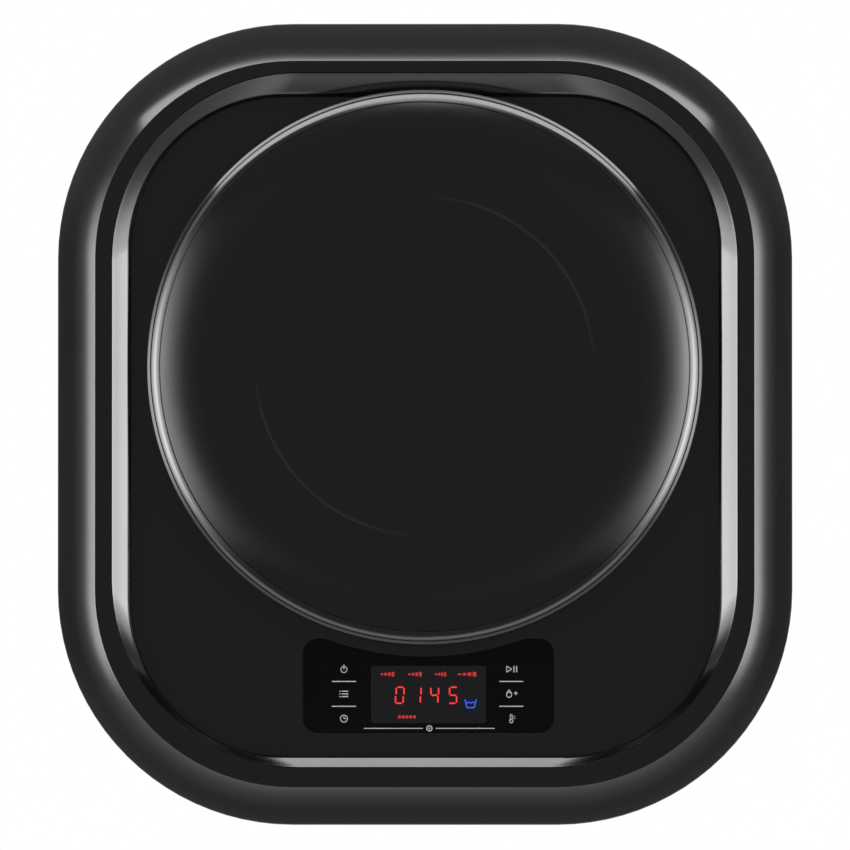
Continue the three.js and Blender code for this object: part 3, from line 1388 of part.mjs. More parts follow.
// Drain pump on a leg from the rear panel, with its impeller.
const PUMP_LEG_RADIUS = 9;
const CHAMBER_START = PUMP_END - 22;
const CHAMBER_RADIUS = 20;
const IMPELLER_RADIUS = 17;
const IMPELLER_SHAFT = 3;
const pump = cut(
  join(
    bar(PUMP_RADIUS, PUMP_START, PUMP_END, PUMP_X, PUMP_Z, 24),
    bar(PUMP_LEG_RADIUS, floorSeat, PUMP_START + 1, PUMP_X, PUMP_Z, 12),
  ),
  bar(CHAMBER_RADIUS, CHAMBER_START, PUMP_END - 2, PUMP_X, PUMP_Z),
  bar(IMPELLER_SHAFT + GAP, PUMP_START + 10, CHAMBER_START + 1, PUMP_X, PUMP_Z, 12),
  crossBar(HOSE_RADIUS, PUMP_X - PUMP_RADIUS - 1, PUMP_X, HOSE_PORT_DEPTH, PUMP_Z, 12),
  uprightBar(HOSE_RADIUS, PUMP_Z - PUMP_RADIUS - 1, PUMP_Z, PUMP_X, HOSE_PORT_DEPTH, 12),
);
piece("drain_pump", pump, 0x54585c, 0.6);
let impeller = join(
  bar(6, CHAMBER_START + 2, PUMP_END - 4, PUMP_X, PUMP_Z, 12),
  bar(IMPELLER_SHAFT, PUMP_START + 12, CHAMBER_START + 3, PUMP_X, PUMP_Z, 12),
);
for (const [halfX, halfZ] of [[IMPELLER_RADIUS, 1.2], [1.2, IMPELLER_RADIUS]]) {
  impeller = join(
    impeller,
    block(
      PUMP_X - halfX,
      PUMP_X + halfX,
      CHAMBER_START + 3,
      PUMP_END - 5,
      PUMP_Z - halfZ,
      PUMP_Z + halfZ,
    ),
  );
}
piece("pump_impeller", impeller, 0xd0d2d4, 0.5);

const WIDE_HOSE_RADIUS = 9;
const sumpHose = hose(
  WIDE_HOSE_RADIUS,
  [
    [SUMP_HALF_WIDTH + GAP, HOSE_PORT_DEPTH, HEATER_Z],
    [SUMP_HALF_WIDTH + 12, HOSE_PORT_DEPTH, HEATER_Z],
    [PUMP_X - PUMP_RADIUS - 12, HOSE_PORT_DEPTH, PUMP_Z],
    [PUMP_X - PUMP_RADIUS - GAP, HOSE_PORT_DEPTH, PUMP_Z],
  ],
  10,
);
piece("sump_hose", sumpHose, 0x2a2a2a, 0.85);

// Drain spigot and cable gland through the underside, hidden behind the front frame's outline.
const PORT_FLANGE = 4;
const PORT_FLANGE_THICKNESS = 4;
const rearHalfHeight = CASE_HEIGHT / 2 - taperInset(PORT_DEPTH);

// The height of the rear panel's inside surface below a point, at the ports' depth.
function insideFloor(x) {
  const corner = CASE_CORNER - taperInset(PORT_DEPTH);
  const centre = CASE_WIDTH / 2 - taperInset(PORT_DEPTH) - corner;
  const over = Math.max(0, Math.abs(x) - centre);
  return -(rearHalfHeight - corner + Math.sqrt(corner ** 2 - over ** 2)) + CASE_WALL;
}
const spigotTop = insideFloor(SPIGOT_X) + 12;
const spigot = cut(
  uprightBar(SPIGOT_RADIUS, -PORT_HEIGHT, spigotTop, SPIGOT_X, PORT_DEPTH),
  uprightBar(SPIGOT_RADIUS - 3, -PORT_HEIGHT - 1, spigotTop - 3, SPIGOT_X, PORT_DEPTH),
);
piece("drain_spigot", spigot, 0x35373a, 0.6);
const drainHose = hose(
  WIDE_HOSE_RADIUS,
  [
    [PUMP_X, HOSE_PORT_DEPTH, PUMP_Z - PUMP_RADIUS - GAP],
    [PUMP_X, HOSE_PORT_DEPTH, PUMP_Z - PUMP_RADIUS - 6],
    [PUMP_X - 8, PUMP_START + 10, PUMP_Z - PUMP_RADIUS - 22],
    [SPIGOT_X + 6, PORT_DEPTH + 17, PUMP_Z - PUMP_RADIUS - 22],
    [SPIGOT_X, PORT_DEPTH, spigotTop + 8],
    [SPIGOT_X, PORT_DEPTH, spigotTop + GAP],
  ],
  14,
);
piece("drain_hose", drainHose, 0x2a2a2a, 0.85);
const sideSlope = REAR_INSET / CASE_FULL_DEPTH;
const glandTop = insideFloor(GLAND_X) + GAP + (GLAND_RADIUS + PORT_FLANGE) * sideSlope;
const glandEnd = -PORT_HEIGHT;
const gland = cut(
  join(
    uprightBar(GLAND_RADIUS, glandEnd, glandTop + 1, GLAND_X, PORT_DEPTH),
    uprightBar(
      GLAND_RADIUS + PORT_FLANGE,
      glandTop,
      glandTop + PORT_FLANGE_THICKNESS,
      GLAND_X,
      PORT_DEPTH,
    ),
  ),
  uprightBar(GLAND_RADIUS / 2, glandEnd - 1, 0, GLAND_X, PORT_DEPTH, 12),
);
piece("cable_gland", gland, 0x1c1c1c, 0.7);

// Heater: a bent tube in the sump on a flange outside the tub's back.
const HEATER_FRONT = SUMP_FRONT - HEATER_SET_BACK;
const heaterLoop = new THREE.CurvePath();
const heaterPoint = (x, depth) => new THREE.Vector3(x, -depth, HEATER_Z);
const heaterTurn = (t) => Math.PI * t;
const bend = [0, 0.25, 0.5, 0.75, 1].map((t) =>
  heaterPoint(
    -HEATER_SPACING * Math.cos(heaterTurn(t)),
    HEATER_FRONT - HEATER_SPACING + HEATER_SPACING * Math.sin(heaterTurn(t)),
  ),
);
heaterLoop.add(new THREE.LineCurve3(heaterPoint(-HEATER_SPACING, TUB_BACK - 2), bend[0]));
heaterLoop.add(new THREE.CatmullRomCurve3(bend));
heaterLoop.add(new THREE.LineCurve3(bend[4], heaterPoint(HEATER_SPACING, TUB_BACK - 2)));
const heaterSection = new THREE.Shape();
heaterSection.absarc(0, 0, HEATER_RADIUS, 0, 2 * Math.PI);
const heaterRod = new THREE.ExtrudeGeometry(heaterSection, {
  steps: 16,
  extrudePath: heaterLoop,
  curveSegments: 4,
});
const heaterFlange = block(
  -HEATER_SPACING - 8,
  HEATER_SPACING + 8,
  TUB_BACK - 5,
  TUB_BACK - GAP,
  HEATER_Z - 8,
  HEATER_Z + 8,
);
piece("heater", join(solid(heaterRod), heaterFlange), 0x9b9da0, 0.35, 0.9);

// Power board on the pegs at the bottom of the case.
const powerBoard = join(
  block(
    -BOARD_HALF_WIDTH,
    BOARD_HALF_WIDTH,
    BOARD_BACK,
    BOARD_FRONT,
    BOARD_Z,
    BOARD_Z + BOARD_THICKNESS,
  ),
  block(-50, -14, BOARD_BACK + 15, BOARD_BACK + 55, BOARD_Z + 1, BOARD_Z + 34),
  uprightBar(12, BOARD_Z + 1, BOARD_Z + 40, 14, BOARD_BACK + 40, 16),
  block(34, 60, BOARD_BACK + 10, BOARD_BACK + 65, BOARD_Z + 1, BOARD_Z + 22),
);
piece("power_board", powerBoard, 0x1f5a3a, 0.6);

export default machine;
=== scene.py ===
import math

import bmesh
import bpy
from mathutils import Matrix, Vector


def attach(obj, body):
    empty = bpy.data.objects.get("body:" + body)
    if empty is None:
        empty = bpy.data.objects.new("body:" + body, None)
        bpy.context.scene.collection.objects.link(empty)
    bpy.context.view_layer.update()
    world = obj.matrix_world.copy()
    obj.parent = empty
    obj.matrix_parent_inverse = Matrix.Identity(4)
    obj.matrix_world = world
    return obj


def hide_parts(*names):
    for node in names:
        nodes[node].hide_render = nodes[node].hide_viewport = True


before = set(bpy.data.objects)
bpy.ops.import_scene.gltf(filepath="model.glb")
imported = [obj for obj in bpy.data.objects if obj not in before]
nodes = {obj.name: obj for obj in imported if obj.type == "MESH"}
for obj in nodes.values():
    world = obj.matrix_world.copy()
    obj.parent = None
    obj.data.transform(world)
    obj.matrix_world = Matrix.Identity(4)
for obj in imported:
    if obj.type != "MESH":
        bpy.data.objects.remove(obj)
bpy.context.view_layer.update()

MM = 0.001
scene = bpy.context.scene
scene.view_settings.view_transform = "Standard"

# The camera: a long lens straight in front of the machine and a little below its middle,
# so that the case fills the frame and its lower edge comes out very slightly wider.
CAMERA_DISTANCE = 9
CAMERA_BELOW = math.radians(1.2)
CAMERA_RIGHT = math.radians(0.5)
CAMERA_DROP = 0.7 * MM
SENSOR_WIDTH = 36
FRAME_HEIGHT = 0.6366
SILHOUETTE_DEPTH = 0.244
camera = bpy.data.objects.new("camera", bpy.data.cameras.new("camera"))
scene.collection.objects.link(camera)
camera.location = (
    CAMERA_DISTANCE * math.sin(CAMERA_RIGHT),
    -SILHOUETTE_DEPTH - CAMERA_DISTANCE * math.cos(CAMERA_BELOW),
    -CAMERA_DISTANCE * math.sin(CAMERA_BELOW) - CAMERA_DROP,
)
camera.rotation_euler = (math.pi / 2 + CAMERA_BELOW, 0, CAMERA_RIGHT)
camera.data.sensor_width = SENSOR_WIDTH
camera.data.lens = SENSOR_WIDTH * CAMERA_DISTANCE / FRAME_HEIGHT
camera.data.clip_end = 50
scene.camera = camera

# The studio: soft lamps light the machine, and its gloss black surfaces mirror a dim room
# with a tall bright panel at each side, weaker ones above and below, and a strip lamp that
# hangs just above and in front of the case and lights the lower bevel.
LAMP_DISTANCE = 2.5
STRIP_SIZE = (1.1, 0.15)
STRIP_PLACE = (0, -0.47, 0.53)
STRIP_TILT = math.radians(14)
STRIP_RADIANCE = 8
ROOM_LIGHT = 0.45
MIRRORED_ROOM = 0.24
RIGHT_PANEL_TURN = 0.02
PANEL_SCALE = 20


def lamp(name, side_degrees, up_degrees, size, radiance):
    """A soft lamp seen from the front panel at so many degrees to the side and up."""
    data = bpy.data.lights.new(name, "AREA")
    data.shape = "SQUARE"
    data.size = size
    data.energy = radiance * math.pi * size * size
    light = bpy.data.objects.new(name, data)
    side = math.radians(side_degrees)
    up = math.radians(up_degrees)
    out = (math.sin(side) * math.cos(up), -math.cos(side) * math.cos(up), math.sin(up))
    light.location = (
        LAMP_DISTANCE * out[0],
        LAMP_DISTANCE * out[1] - SILHOUETTE_DEPTH,
        LAMP_DISTANCE * out[2],
    )
    light.rotation_euler = (-Vector(out)).to_track_quat("-Z", "Y").to_euler()
    light.visible_camera = False
    light.visible_glossy = False
    scene.collection.objects.link(light)


lamp("lamp_left", -50, 12, 1.4, 2.6)
lamp("lamp_right", 50, 12, 1.4, 2.6)
lamp("lamp_top", 0, 58, 1.4, 1.6)
strip = bpy.data.lights.new("lamp_strip", "AREA")
strip.shape = "RECTANGLE"
strip.size, strip.size_y = STRIP_SIZE
strip.energy = STRIP_RADIANCE * math.pi * strip.size * strip.size_y
strip_lamp = bpy.data.objects.new("lamp_strip", strip)
strip_lamp.location = STRIP_PLACE
strip_lamp.rotation_euler = (STRIP_TILT, 0, 0)
strip_lamp.visible_camera = False
strip_lamp.visible_diffuse = False
scene.collection.objects.link(strip_lamp)

world = bpy.data.worlds.new("room")
scene.world = world
world.use_nodes = True
room = world.node_tree
room.nodes.clear()
link = room.links.new


def maths(tree):
    """A function that adds Math nodes to one tree, fed by sockets or plain numbers."""

    def add(operation, first, second=0.0):
        node = tree.nodes.new("ShaderNodeMath")
        node.operation = operation
        for socket, value in zip(node.inputs, (first, second)):
            if isinstance(value, (int, float)):
                socket.default_value = value
            else:
                tree.links.new(value, socket)
        return node.outputs[0]

    return add


room_math = maths(room)


def panel_light(turn, stops):
    """Brightness of a bright panel, as a share of the scale, from straight out to sideways."""
    node = room.nodes.new("ShaderNodeValToRGB")
    while len(node.color_ramp.elements) < len(stops):
        node.color_ramp.elements.new(0.5)
    for element, (place, level) in zip(node.color_ramp.elements, stops):
        element.position = place
        element.color = (*[level / PANEL_SCALE] * 3, 1)
    link(turn, node.inputs[0])
    return node.outputs["Color"]


seen = room.nodes.new("ShaderNodeLightPath")
direction = room.nodes.new("ShaderNodeTexCoord")
split = room.nodes.new("ShaderNodeSeparateXYZ")
link(direction.outputs["Generated"], split.inputs["Vector"])
turn = room_math("ADD", split.outputs["Y"], 1.0)
right = room_math("GREATER_THAN", split.outputs["X"], 0.0)
turn = room_math("ADD", turn, room_math("MULTIPLY", right, RIGHT_PANEL_TURN))
SIDE_PANELS = (
    (0.05, 0),
    (0.11, 0.12),
    (0.155, 0.34),
    (0.196, 0.85),
    (0.237, 1.75),
    (0.268, 2.8),
    (0.285, 3.8),
    (0.32, 16),
    (0.34, 17.5),
    (0.475, 17.5),
    (0.505, 9.5),
    (0.62, 8.6),
    (0.66, 5),
    (0.72, 1.2),
    (0.8, 0.5),
    (1, 0),
)
TOP_PANEL = (
    (0.42, 0),
    (0.47, 2.4),
    (0.52, 1.9),
    (0.58, 0.7),
    (0.66, 0.35),
    (0.85, 0.2),
    (1, 0.2),
)
BOTTOM_PANEL = (
    (0.38, 0),
    (0.418, 0.5),
    (0.44, 1.2),
    (0.46, 2.2),
    (0.48, 3.4),
    (0.5, 3),
    (0.52, 2.2),
    (0.6, 1),
    (0.75, 0.5),
    (1, 0.1),
)


def past(socket, start, end):
    """Rises smoothly from 0 to 1 between two values."""
    node = room.nodes.new("ShaderNodeMapRange")
    node.interpolation_type = "SMOOTHSTEP"
    node.inputs["From Min"].default_value = start
    node.inputs["From Max"].default_value = end
    link(socket, node.inputs["Value"])
    return node.outputs["Result"]


up = past(split.outputs["Z"], 0.0, 0.45)
down = past(room_math("MULTIPLY", split.outputs["Z"], -1.0), 0.2, 0.52)
above = room_math("GREATER_THAN", split.outputs["Z"], 0.0)
ends = room.nodes.new("ShaderNodeMix")
link(above, ends.inputs["Factor"])
link(panel_light(turn, BOTTOM_PANEL), ends.inputs["A"])
link(panel_light(turn, TOP_PANEL), ends.inputs["B"])
panels = room.nodes.new("ShaderNodeMix")
link(room_math("ADD", up, down), panels.inputs["Factor"])
link(panel_light(turn, SIDE_PANELS), panels.inputs["A"])
link(ends.outputs["Result"], panels.inputs["B"])
panel_glow = room_math("MULTIPLY", panels.outputs["Result"], PANEL_SCALE)
mirrored = room_math("ADD", panel_glow, MIRRORED_ROOM)
mix = room.nodes.new("ShaderNodeMix")
mix.inputs["A"].default_value = ROOM_LIGHT
link(
    room_math("MAXIMUM", seen.outputs["Is Glossy Ray"], seen.outputs["Is Transmission Ray"]),
    mix.inputs["Factor"],
)
link(mirrored, mix.inputs["B"])
through = room.nodes.new("ShaderNodeMix")
link(seen.outputs["Is Camera Ray"], through.inputs["Factor"])
link(mix.outputs["Result"], through.inputs["A"])
through.inputs["B"].default_value = 1.0
glow = room.nodes.new("ShaderNodeBackground")
glow.inputs["Color"].default_value = (1, 1, 1, 1)
link(through.outputs["Result"], glow.inputs["Strength"])
out = room.nodes.new("ShaderNodeOutputWorld")
link(glow.outputs["Background"], out.inputs["Surface"])

FLOOR_Z = -0.62
FLOOR_SIZE = 6
bpy.ops.mesh.primitive_plane_add(size=FLOOR_SIZE, location=(0, 0, FLOOR_Z))
floor = bpy.context.object
floor.name = "floor"
floor_material = bpy.data.materials.new("pale_floor")
floor_material.use_nodes = True
floor_shader = floor_material.node_tree.nodes["Principled BSDF"]
floor_shader.inputs["Base Color"].default_value = (0.85, 0.85, 0.85, 1)
floor_shader.inputs["Roughness"].default_value = 0.7
floor_tree = floor_material.node_tree
floor_light = floor_tree.nodes.new("ShaderNodeLightPath")
clear_floor = floor_tree.nodes.new("ShaderNodeBsdfTransparent")
floor_mix = floor_tree.nodes.new("ShaderNodeMixShader")
floor_tree.links.new(floor_light.outputs["Is Glossy Ray"], floor_mix.inputs["Fac"])
floor_tree.links.new(floor_shader.outputs["BSDF"], floor_mix.inputs[1])
floor_tree.links.new(clear_floor.outputs["BSDF"], floor_mix.inputs[2])
floor_tree.links.new(
    floor_mix.outputs["Shader"], floor_tree.nodes["Material Output"].inputs["Surface"]
)
floor.data.materials.append(floor_material)

# ---------------------------------------------------------------- Wall side
# Rear panel: a dark moulded tray that lies flat on the wall. It carries four anchor bosses
# with rubber pads, and the water, drain and cable ports pass through its top and bottom.
CASE_WIDTH = 550 * MM
CASE_HEIGHT = 600 * MM
CASE_CORNER = 176 * MM
CASE_WALL = 3 * MM
FULL_DEPTH = 244 * MM
REAR_INSET = 22 * MM
SEAM_DEPTH = 62 * MM
REAR_FLOOR = 6 * MM
REAR_EDGE = SEAM_DEPTH - 0.3 * MM
CORNER_STEPS = 22
MERGE_WITHIN = 0.01 * MM
SMOOTH_WITHIN = math.radians(28)


def surface_grain():
    """A node group with slow colour and gloss changes and a fine moulded grain."""
    group = bpy.data.node_groups.new("surface_grain", "ShaderNodeTree")
    for label, kind in (
        ("Dark", "NodeSocketColor"),
        ("Light", "NodeSocketColor"),
        ("Smooth", "NodeSocketFloat"),
        ("Rough", "NodeSocketFloat"),
        ("Coarse Scale", "NodeSocketFloat"),
        ("Fine Scale", "NodeSocketFloat"),
        ("Grain Height", "NodeSocketFloat"),
    ):
        group.interface.new_socket(label, in_out="INPUT", socket_type=kind)
    group.interface.new_socket("Color", in_out="OUTPUT", socket_type="NodeSocketColor")
    group.interface.new_socket("Roughness", in_out="OUTPUT", socket_type="NodeSocketFloat")
    group.interface.new_socket("Normal", in_out="OUTPUT", socket_type="NodeSocketVector")
    add = group.nodes.new
    given = add("NodeGroupInput")
    made = add("NodeGroupOutput")
    place = add("ShaderNodeTexCoord")
    coarse = add("ShaderNodeTexNoise")
    fine = add("ShaderNodeTexNoise")
    coarse.inputs["Detail"].default_value = 4
    fine.inputs["Detail"].default_value = 2
    tint = add("ShaderNodeMix")
    tint.data_type = "RGBA"
    gloss = add("ShaderNodeMapRange")
    gloss.inputs["From Min"].default_value = 0.3
    gloss.inputs["From Max"].default_value = 0.7
    bump = add("ShaderNodeBump")
    bump.inputs["Strength"].default_value = 1.0
    join = group.links.new
    join(place.outputs["Object"], coarse.inputs["Vector"])
    join(place.outputs["Object"], fine.inputs["Vector"])
    join(given.outputs["Coarse Scale"], coarse.inputs["Scale"])
    join(given.outputs["Fine Scale"], fine.inputs["Scale"])
    join(coarse.outputs["Fac"], tint.inputs["Factor"])
    join(given.outputs["Dark"], tint.inputs["A"])
    join(given.outputs["Light"], tint.inputs["B"])
    join(coarse.outputs["Fac"], gloss.inputs["Value"])
    join(given.outputs["Smooth"], gloss.inputs["To Min"])
    join(given.outputs["Rough"], gloss.inputs["To Max"])
    join(fine.outputs["Fac"], bump.inputs["Height"])
    join(given.outputs["Grain Height"], bump.inputs["Distance"])
    join(tint.outputs["Result"], made.inputs["Color"])
    join(gloss.outputs["Result"], made.inputs["Roughness"])
    join(bump.outputs["Normal"], made.inputs["Normal"])
    return group


GRAIN = surface_grain()


def finish(name, dark, light, gloss, scale=(18, 900), grain=0.00002, metallic=0.0):
    """A material whose colour, gloss and grain change a little over the surface.

    Gloss is the smoothest and roughest place, scale the coarse and the fine pattern's, and
    grain the height of the fine pattern in metres.
    """
    material = bpy.data.materials.new(name)
    material.use_nodes = True
    tree = material.node_tree
    shader = tree.nodes["Principled BSDF"]
    shader.inputs["Metallic"].default_value = metallic
    group = tree.nodes.new("ShaderNodeGroup")
    group.node_tree = GRAIN
    group.inputs["Dark"].default_value = (*dark, 1)
    group.inputs["Light"].default_value = (*light, 1)
    group.inputs["Smooth"].default_value = gloss[0]
    group.inputs["Rough"].default_value = gloss[1]
    group.inputs["Coarse Scale"].default_value = scale[0]
    group.inputs["Fine Scale"].default_value = scale[1]
    group.inputs["Grain Height"].default_value = grain
    tree.links.new(group.outputs["Color"], shader.inputs["Base Color"])
    tree.links.new(group.outputs["Roughness"], shader.inputs["Roughness"])
    tree.links.new(group.outputs["Normal"], shader.inputs["Normal"])
    return material


def begin(name):
    """An empty mesh object at the origin, open for editing."""
    if bpy.context.object and bpy.context.object.mode == "EDIT":
        bpy.ops.object.mode_set(mode="OBJECT")
    bpy.ops.object.select_all(action="DESELECT")
    made = bpy.data.objects.new(name, bpy.data.meshes.new(name))
    scene.collection.objects.link(made)
    bpy.context.view_layer.objects.active = made
    made.select_set(True)
    bpy.ops.object.mode_set(mode="EDIT")
    bpy.ops.mesh.select_mode(type="VERT")
    return made


def pick(made, wanted):
    """Selects the points for which wanted(point) is true."""
    shape = bmesh.from_edit_mesh(made.data)
    for face in shape.faces:
        face.select = False
    for edge in shape.edges:
        edge.select = False
    for point in shape.verts:
        point.select = wanted(point)
    shape.select_flush(True)
    bmesh.update_edit_mesh(made.data)


def close_up():
    """Merges doubles, turns the faces outward and leaves edit mode."""
    bpy.ops.mesh.select_all(action="SELECT")
    bpy.ops.mesh.remove_doubles(threshold=MERGE_WITHIN)
    bpy.ops.mesh.normals_make_consistent(inside=False)
    bpy.ops.object.mode_set(mode="OBJECT")


def rounded_shell(name, rings, tube):
    """A shell through rounded rectangles of (width, height, corner, rise, depth, lean).

    The lean is how far a ring's top stands out beyond its middle, and may be left out. A tube
    joins its last ring to its first, and any other shell is closed at both ends.
    """
    made = begin(name)
    count = 4 * (CORNER_STEPS + 1)
    for width, height, corner, rise, depth, *lean in rings:
        middle = (0, -depth, rise)
        bpy.ops.mesh.select_all(action="DESELECT")
        tip = math.asin(2 * lean[0]) if lean else 0
        turned_up = (math.pi / 2 + tip, 0, 0)
        bpy.ops.mesh.primitive_plane_add(size=1, location=middle, rotation=turned_up)
        bpy.ops.transform.resize(value=(width, 1, height), center_override=middle)
        bpy.ops.mesh.bevel(offset=corner, segments=CORNER_STEPS, affect="VERTICES")
        bpy.ops.mesh.delete(type="ONLY_FACE")
    pairs = [(i, i + 1) for i in range(len(rings) - 1)]
    if tube:
        pairs.append((len(rings) - 1, 0))
    for first, second in pairs:
        pick(made, lambda point: point.index // count in (first, second))
        bpy.ops.mesh.bridge_edge_loops()
    if not tube:
        for end in (0, len(rings) - 1):
            pick(made, lambda point: point.index // count == end)
            bpy.ops.mesh.edge_face_add()
    close_up()
    return made


def apply_modifier(made, kind, **settings):
    """Adds a modifier with its settings and applies it."""
    bpy.ops.object.select_all(action="DESELECT")
    bpy.context.view_layer.objects.active = made
    made.select_set(True)
    modifier = made.modifiers.new(kind.lower(), kind)
    for key, value in settings.items():
        setattr(modifier, key, value)
    bpy.ops.object.modifier_apply(modifier=modifier.name)


def ease_edges(made, width, sharp=20, segments=2):
    """Rounds the sharp edges and shades the rest smooth, with the flat faces kept flat."""
    apply_modifier(
        made,
        "BEVEL",
        width=width,
        segments=segments,
        limit_method="ANGLE",
        angle_limit=math.radians(sharp),
    )
    bpy.ops.object.shade_smooth_by_angle(angle=SMOOTH_WITHIN)
    apply_modifier(made, "WEIGHTED_NORMAL", keep_sharp=True)


def use_bar(made, operation, x, depth, z, radius, length, axis, steps=48):
    """Cuts away or joins on a round bar centred on a point along one axis."""
    turns = {"X": (0, math.pi / 2, 0), "Y": (math.pi / 2, 0, 0), "Z": (0, 0, 0)}
    bpy.ops.object.select_all(action="DESELECT")
    bpy.ops.mesh.primitive_cylinder_add(
        vertices=steps,
        radius=radius,
        depth=length,
        location=(x, -depth, z),
        rotation=turns[axis],
    )
    cutter = bpy.context.object
    apply_modifier(made, "BOOLEAN", operation=operation, object=cutter, solver="EXACT")
    bpy.data.objects.remove(cutter)


def dress(made, material, body, replaced=()):
    """Gives a piece its material, its body, and the solids that it stands for."""
    made.data.materials.clear()
    made.data.materials.append(material)
    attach(made, body)
    if replaced:
        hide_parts(*replaced)


def taper_inset(depth):
    """How far the tapered side stands in from the full outline."""
    return REAR_INSET * (1 - depth / FULL_DEPTH)


def case_ring(inset, depth, rise=0.0):
    """A ring of the case, set in evenly from the full outline."""
    width = CASE_WIDTH - 2 * inset
    height = CASE_HEIGHT - 2 * inset
    return (width, height, CASE_CORNER - inset, rise, depth)


dark_tray = finish(
    "dark_tray",
    (0.03, 0.031, 0.034),
    (0.038, 0.04, 0.043),
    (0.42, 0.55),
    grain=0.00006,
)
rear = rounded_shell(
    "rear_shell",
    [
        case_ring(REAR_INSET + 4 * MM, 0),
        case_ring(taper_inset(4 * MM) + 0.6 * MM, 2.4 * MM),
        case_ring(taper_inset(5 * MM), 5 * MM),
        case_ring(taper_inset(REAR_EDGE), REAR_EDGE),
        case_ring(taper_inset(SEAM_DEPTH) + CASE_WALL, REAR_EDGE),
        case_ring(taper_inset(REAR_FLOOR) + CASE_WALL, REAR_FLOOR),
    ],
    tube=False,
)
ANCHOR_X = 185 * MM
ANCHOR_Z = 205 * MM
PAD_RADIUS = 22 * MM
PAD_THICKNESS = 7.7 * MM
GAP = 0.3 * MM
ANCHOR_HOLE = 5.5 * MM
BOSS_RADIUS = PAD_RADIUS + 4.3 * MM
for x in (-ANCHOR_X, ANCHOR_X):
    for z in (-ANCHOR_Z, ANCHOR_Z):
        use_bar(rear, "UNION", x, 7.5 * MM, z, BOSS_RADIUS, 9 * MM, "Y")
        use_bar(rear, "DIFFERENCE", x, 3.5 * MM, z, PAD_RADIUS + GAP, 9 * MM, "Y")
        use_bar(rear, "DIFFERENCE", x, 10 * MM, z, ANCHOR_HOLE, 12 * MM, "Y", 32)
# Four lugs stand round the drum's axis to carry the tub, each with a thinner pin at its end.
AXIS_Z = 42 * MM
LUG_REACH = 232 * MM
LUG_RADIUS = 8 * MM
LUG_PIN_RADIUS = 4 * MM
LUG_DEGREES = (15, 165, 205, 335)
for degrees in LUG_DEGREES:
    x = LUG_REACH * math.cos(math.radians(degrees))
    z = AXIS_Z + LUG_REACH * math.sin(math.radians(degrees))
    use_bar(rear, "UNION", x, 51.5 * MM, z, LUG_RADIUS, 97 * MM, "Y")
    use_bar(rear, "UNION", x, 109 * MM, z, LUG_PIN_RADIUS, 22 * MM, "Y")
# The water, drain and cable ports as (x, z, radius) in millimetres.
WALL_PORTS = ((139, 270, 13.5), (120, -262, 11.3), (-60, -262, 10.3))
PORT_DEPTH = 35 * MM
for x, z, radius in WALL_PORTS:
    use_bar(rear, "DIFFERENCE", x * MM, PORT_DEPTH, z * MM, radius * MM, 76 * MM, "Z")
ease_edges(rear, 0.5 * MM)
dress(rear, dark_tray, "case", ("rear_panel",))


def turned(name, profile, steps, x=0.0, z=AXIS_Z):
    """A piece turned about a line out of the wall, drawn point by point and then spun."""
    made = begin(name)
    radius, depth = profile[0]
    bpy.ops.mesh.primitive_plane_add(size=MM, location=(x + radius, -depth, z))
    bpy.ops.mesh.merge(type="CENTER")
    for last, point in zip(profile, profile[1:]):
        step = (point[0] - last[0], last[1] - point[1], 0)
        bpy.ops.mesh.extrude_region_move(TRANSFORM_OT_translate={"value": step})
    bpy.ops.mesh.select_all(action="SELECT")
    bpy.ops.mesh.spin(steps=steps, angle=2 * math.pi, center=(x, 0, z), axis=(0, 1, 0))
    close_up()
    return made


# Wall pads: four moulded black rubber rings pressed into the bosses of the rear panel. Each
# has three ribs and grooves on its wall face and a hole through it for the wall anchor.
pad_rubber = finish(
    "pad_rubber",
    (0.012, 0.012, 0.012),
    (0.02, 0.02, 0.02),
    (0.75, 0.9),
    grain=0.00008,
)
pad_profile = [(ANCHOR_HOLE, 0.4 * MM), (9 * MM, 0.4 * MM)]
for groove in (10, 13.5, 17):
    pad_profile += [(groove * MM, 0), ((groove + 2) * MM, 0), ((groove + 2.6) * MM, 0.9 * MM)]
pad_profile += [(21 * MM, 0.2 * MM), (PAD_RADIUS, 1.2 * MM)]
pad_profile += [(PAD_RADIUS, PAD_THICKNESS), (ANCHOR_HOLE, PAD_THICKNESS), pad_profile[0]]
PAD_PLACES = ((-1, 1), (1, 1), (-1, -1), (1, -1))
for number, (side, up) in enumerate(PAD_PLACES, start=1):
    pad = turned(f"rubber_pad_{number}", pad_profile, 64, side * ANCHOR_X, up * ANCHOR_Z)
    bpy.ops.object.shade_smooth_by_angle(angle=SMOOTH_WITHIN)
    dress(pad, pad_rubber, "case", (f"wall_pad_{number}",))

# ---------------------------------------------------------------- Front frame
# Front frame: one injection moulded shell of gloss black plastic that clips round the rear
# panel. Its rounded edge rolls up the shoulder to a narrow flat crest round the opening.
EDGE_ROUND = 8 * MM
EDGE_TILT = 55
SHOULDER_RADIUS = 86 * MM
CREST_TILT = 30
CREST_RISE = -0.3 * MM
MOUTH = (468 * MM, 519.4 * MM, 141 * MM, 2.6 * MM)


def tilt_place(centre_inset, centre_depth, radius, tilt):
    """The inset and depth of a point on a rounded edge that faces a tilt from straight out."""
    inset = centre_inset - radius * math.sin(math.radians(tilt))
    return inset, centre_depth + radius * math.cos(math.radians(tilt))


edge_end = tilt_place(EDGE_ROUND, FULL_DEPTH, EDGE_ROUND, EDGE_TILT)
shoulder_centre = (
    edge_end[0] + SHOULDER_RADIUS * math.sin(math.radians(EDGE_TILT)),
    edge_end[1] - SHOULDER_RADIUS * math.cos(math.radians(EDGE_TILT)),
)
crest_inset, CREST_DEPTH = tilt_place(*shoulder_centre, SHOULDER_RADIUS, CREST_TILT)


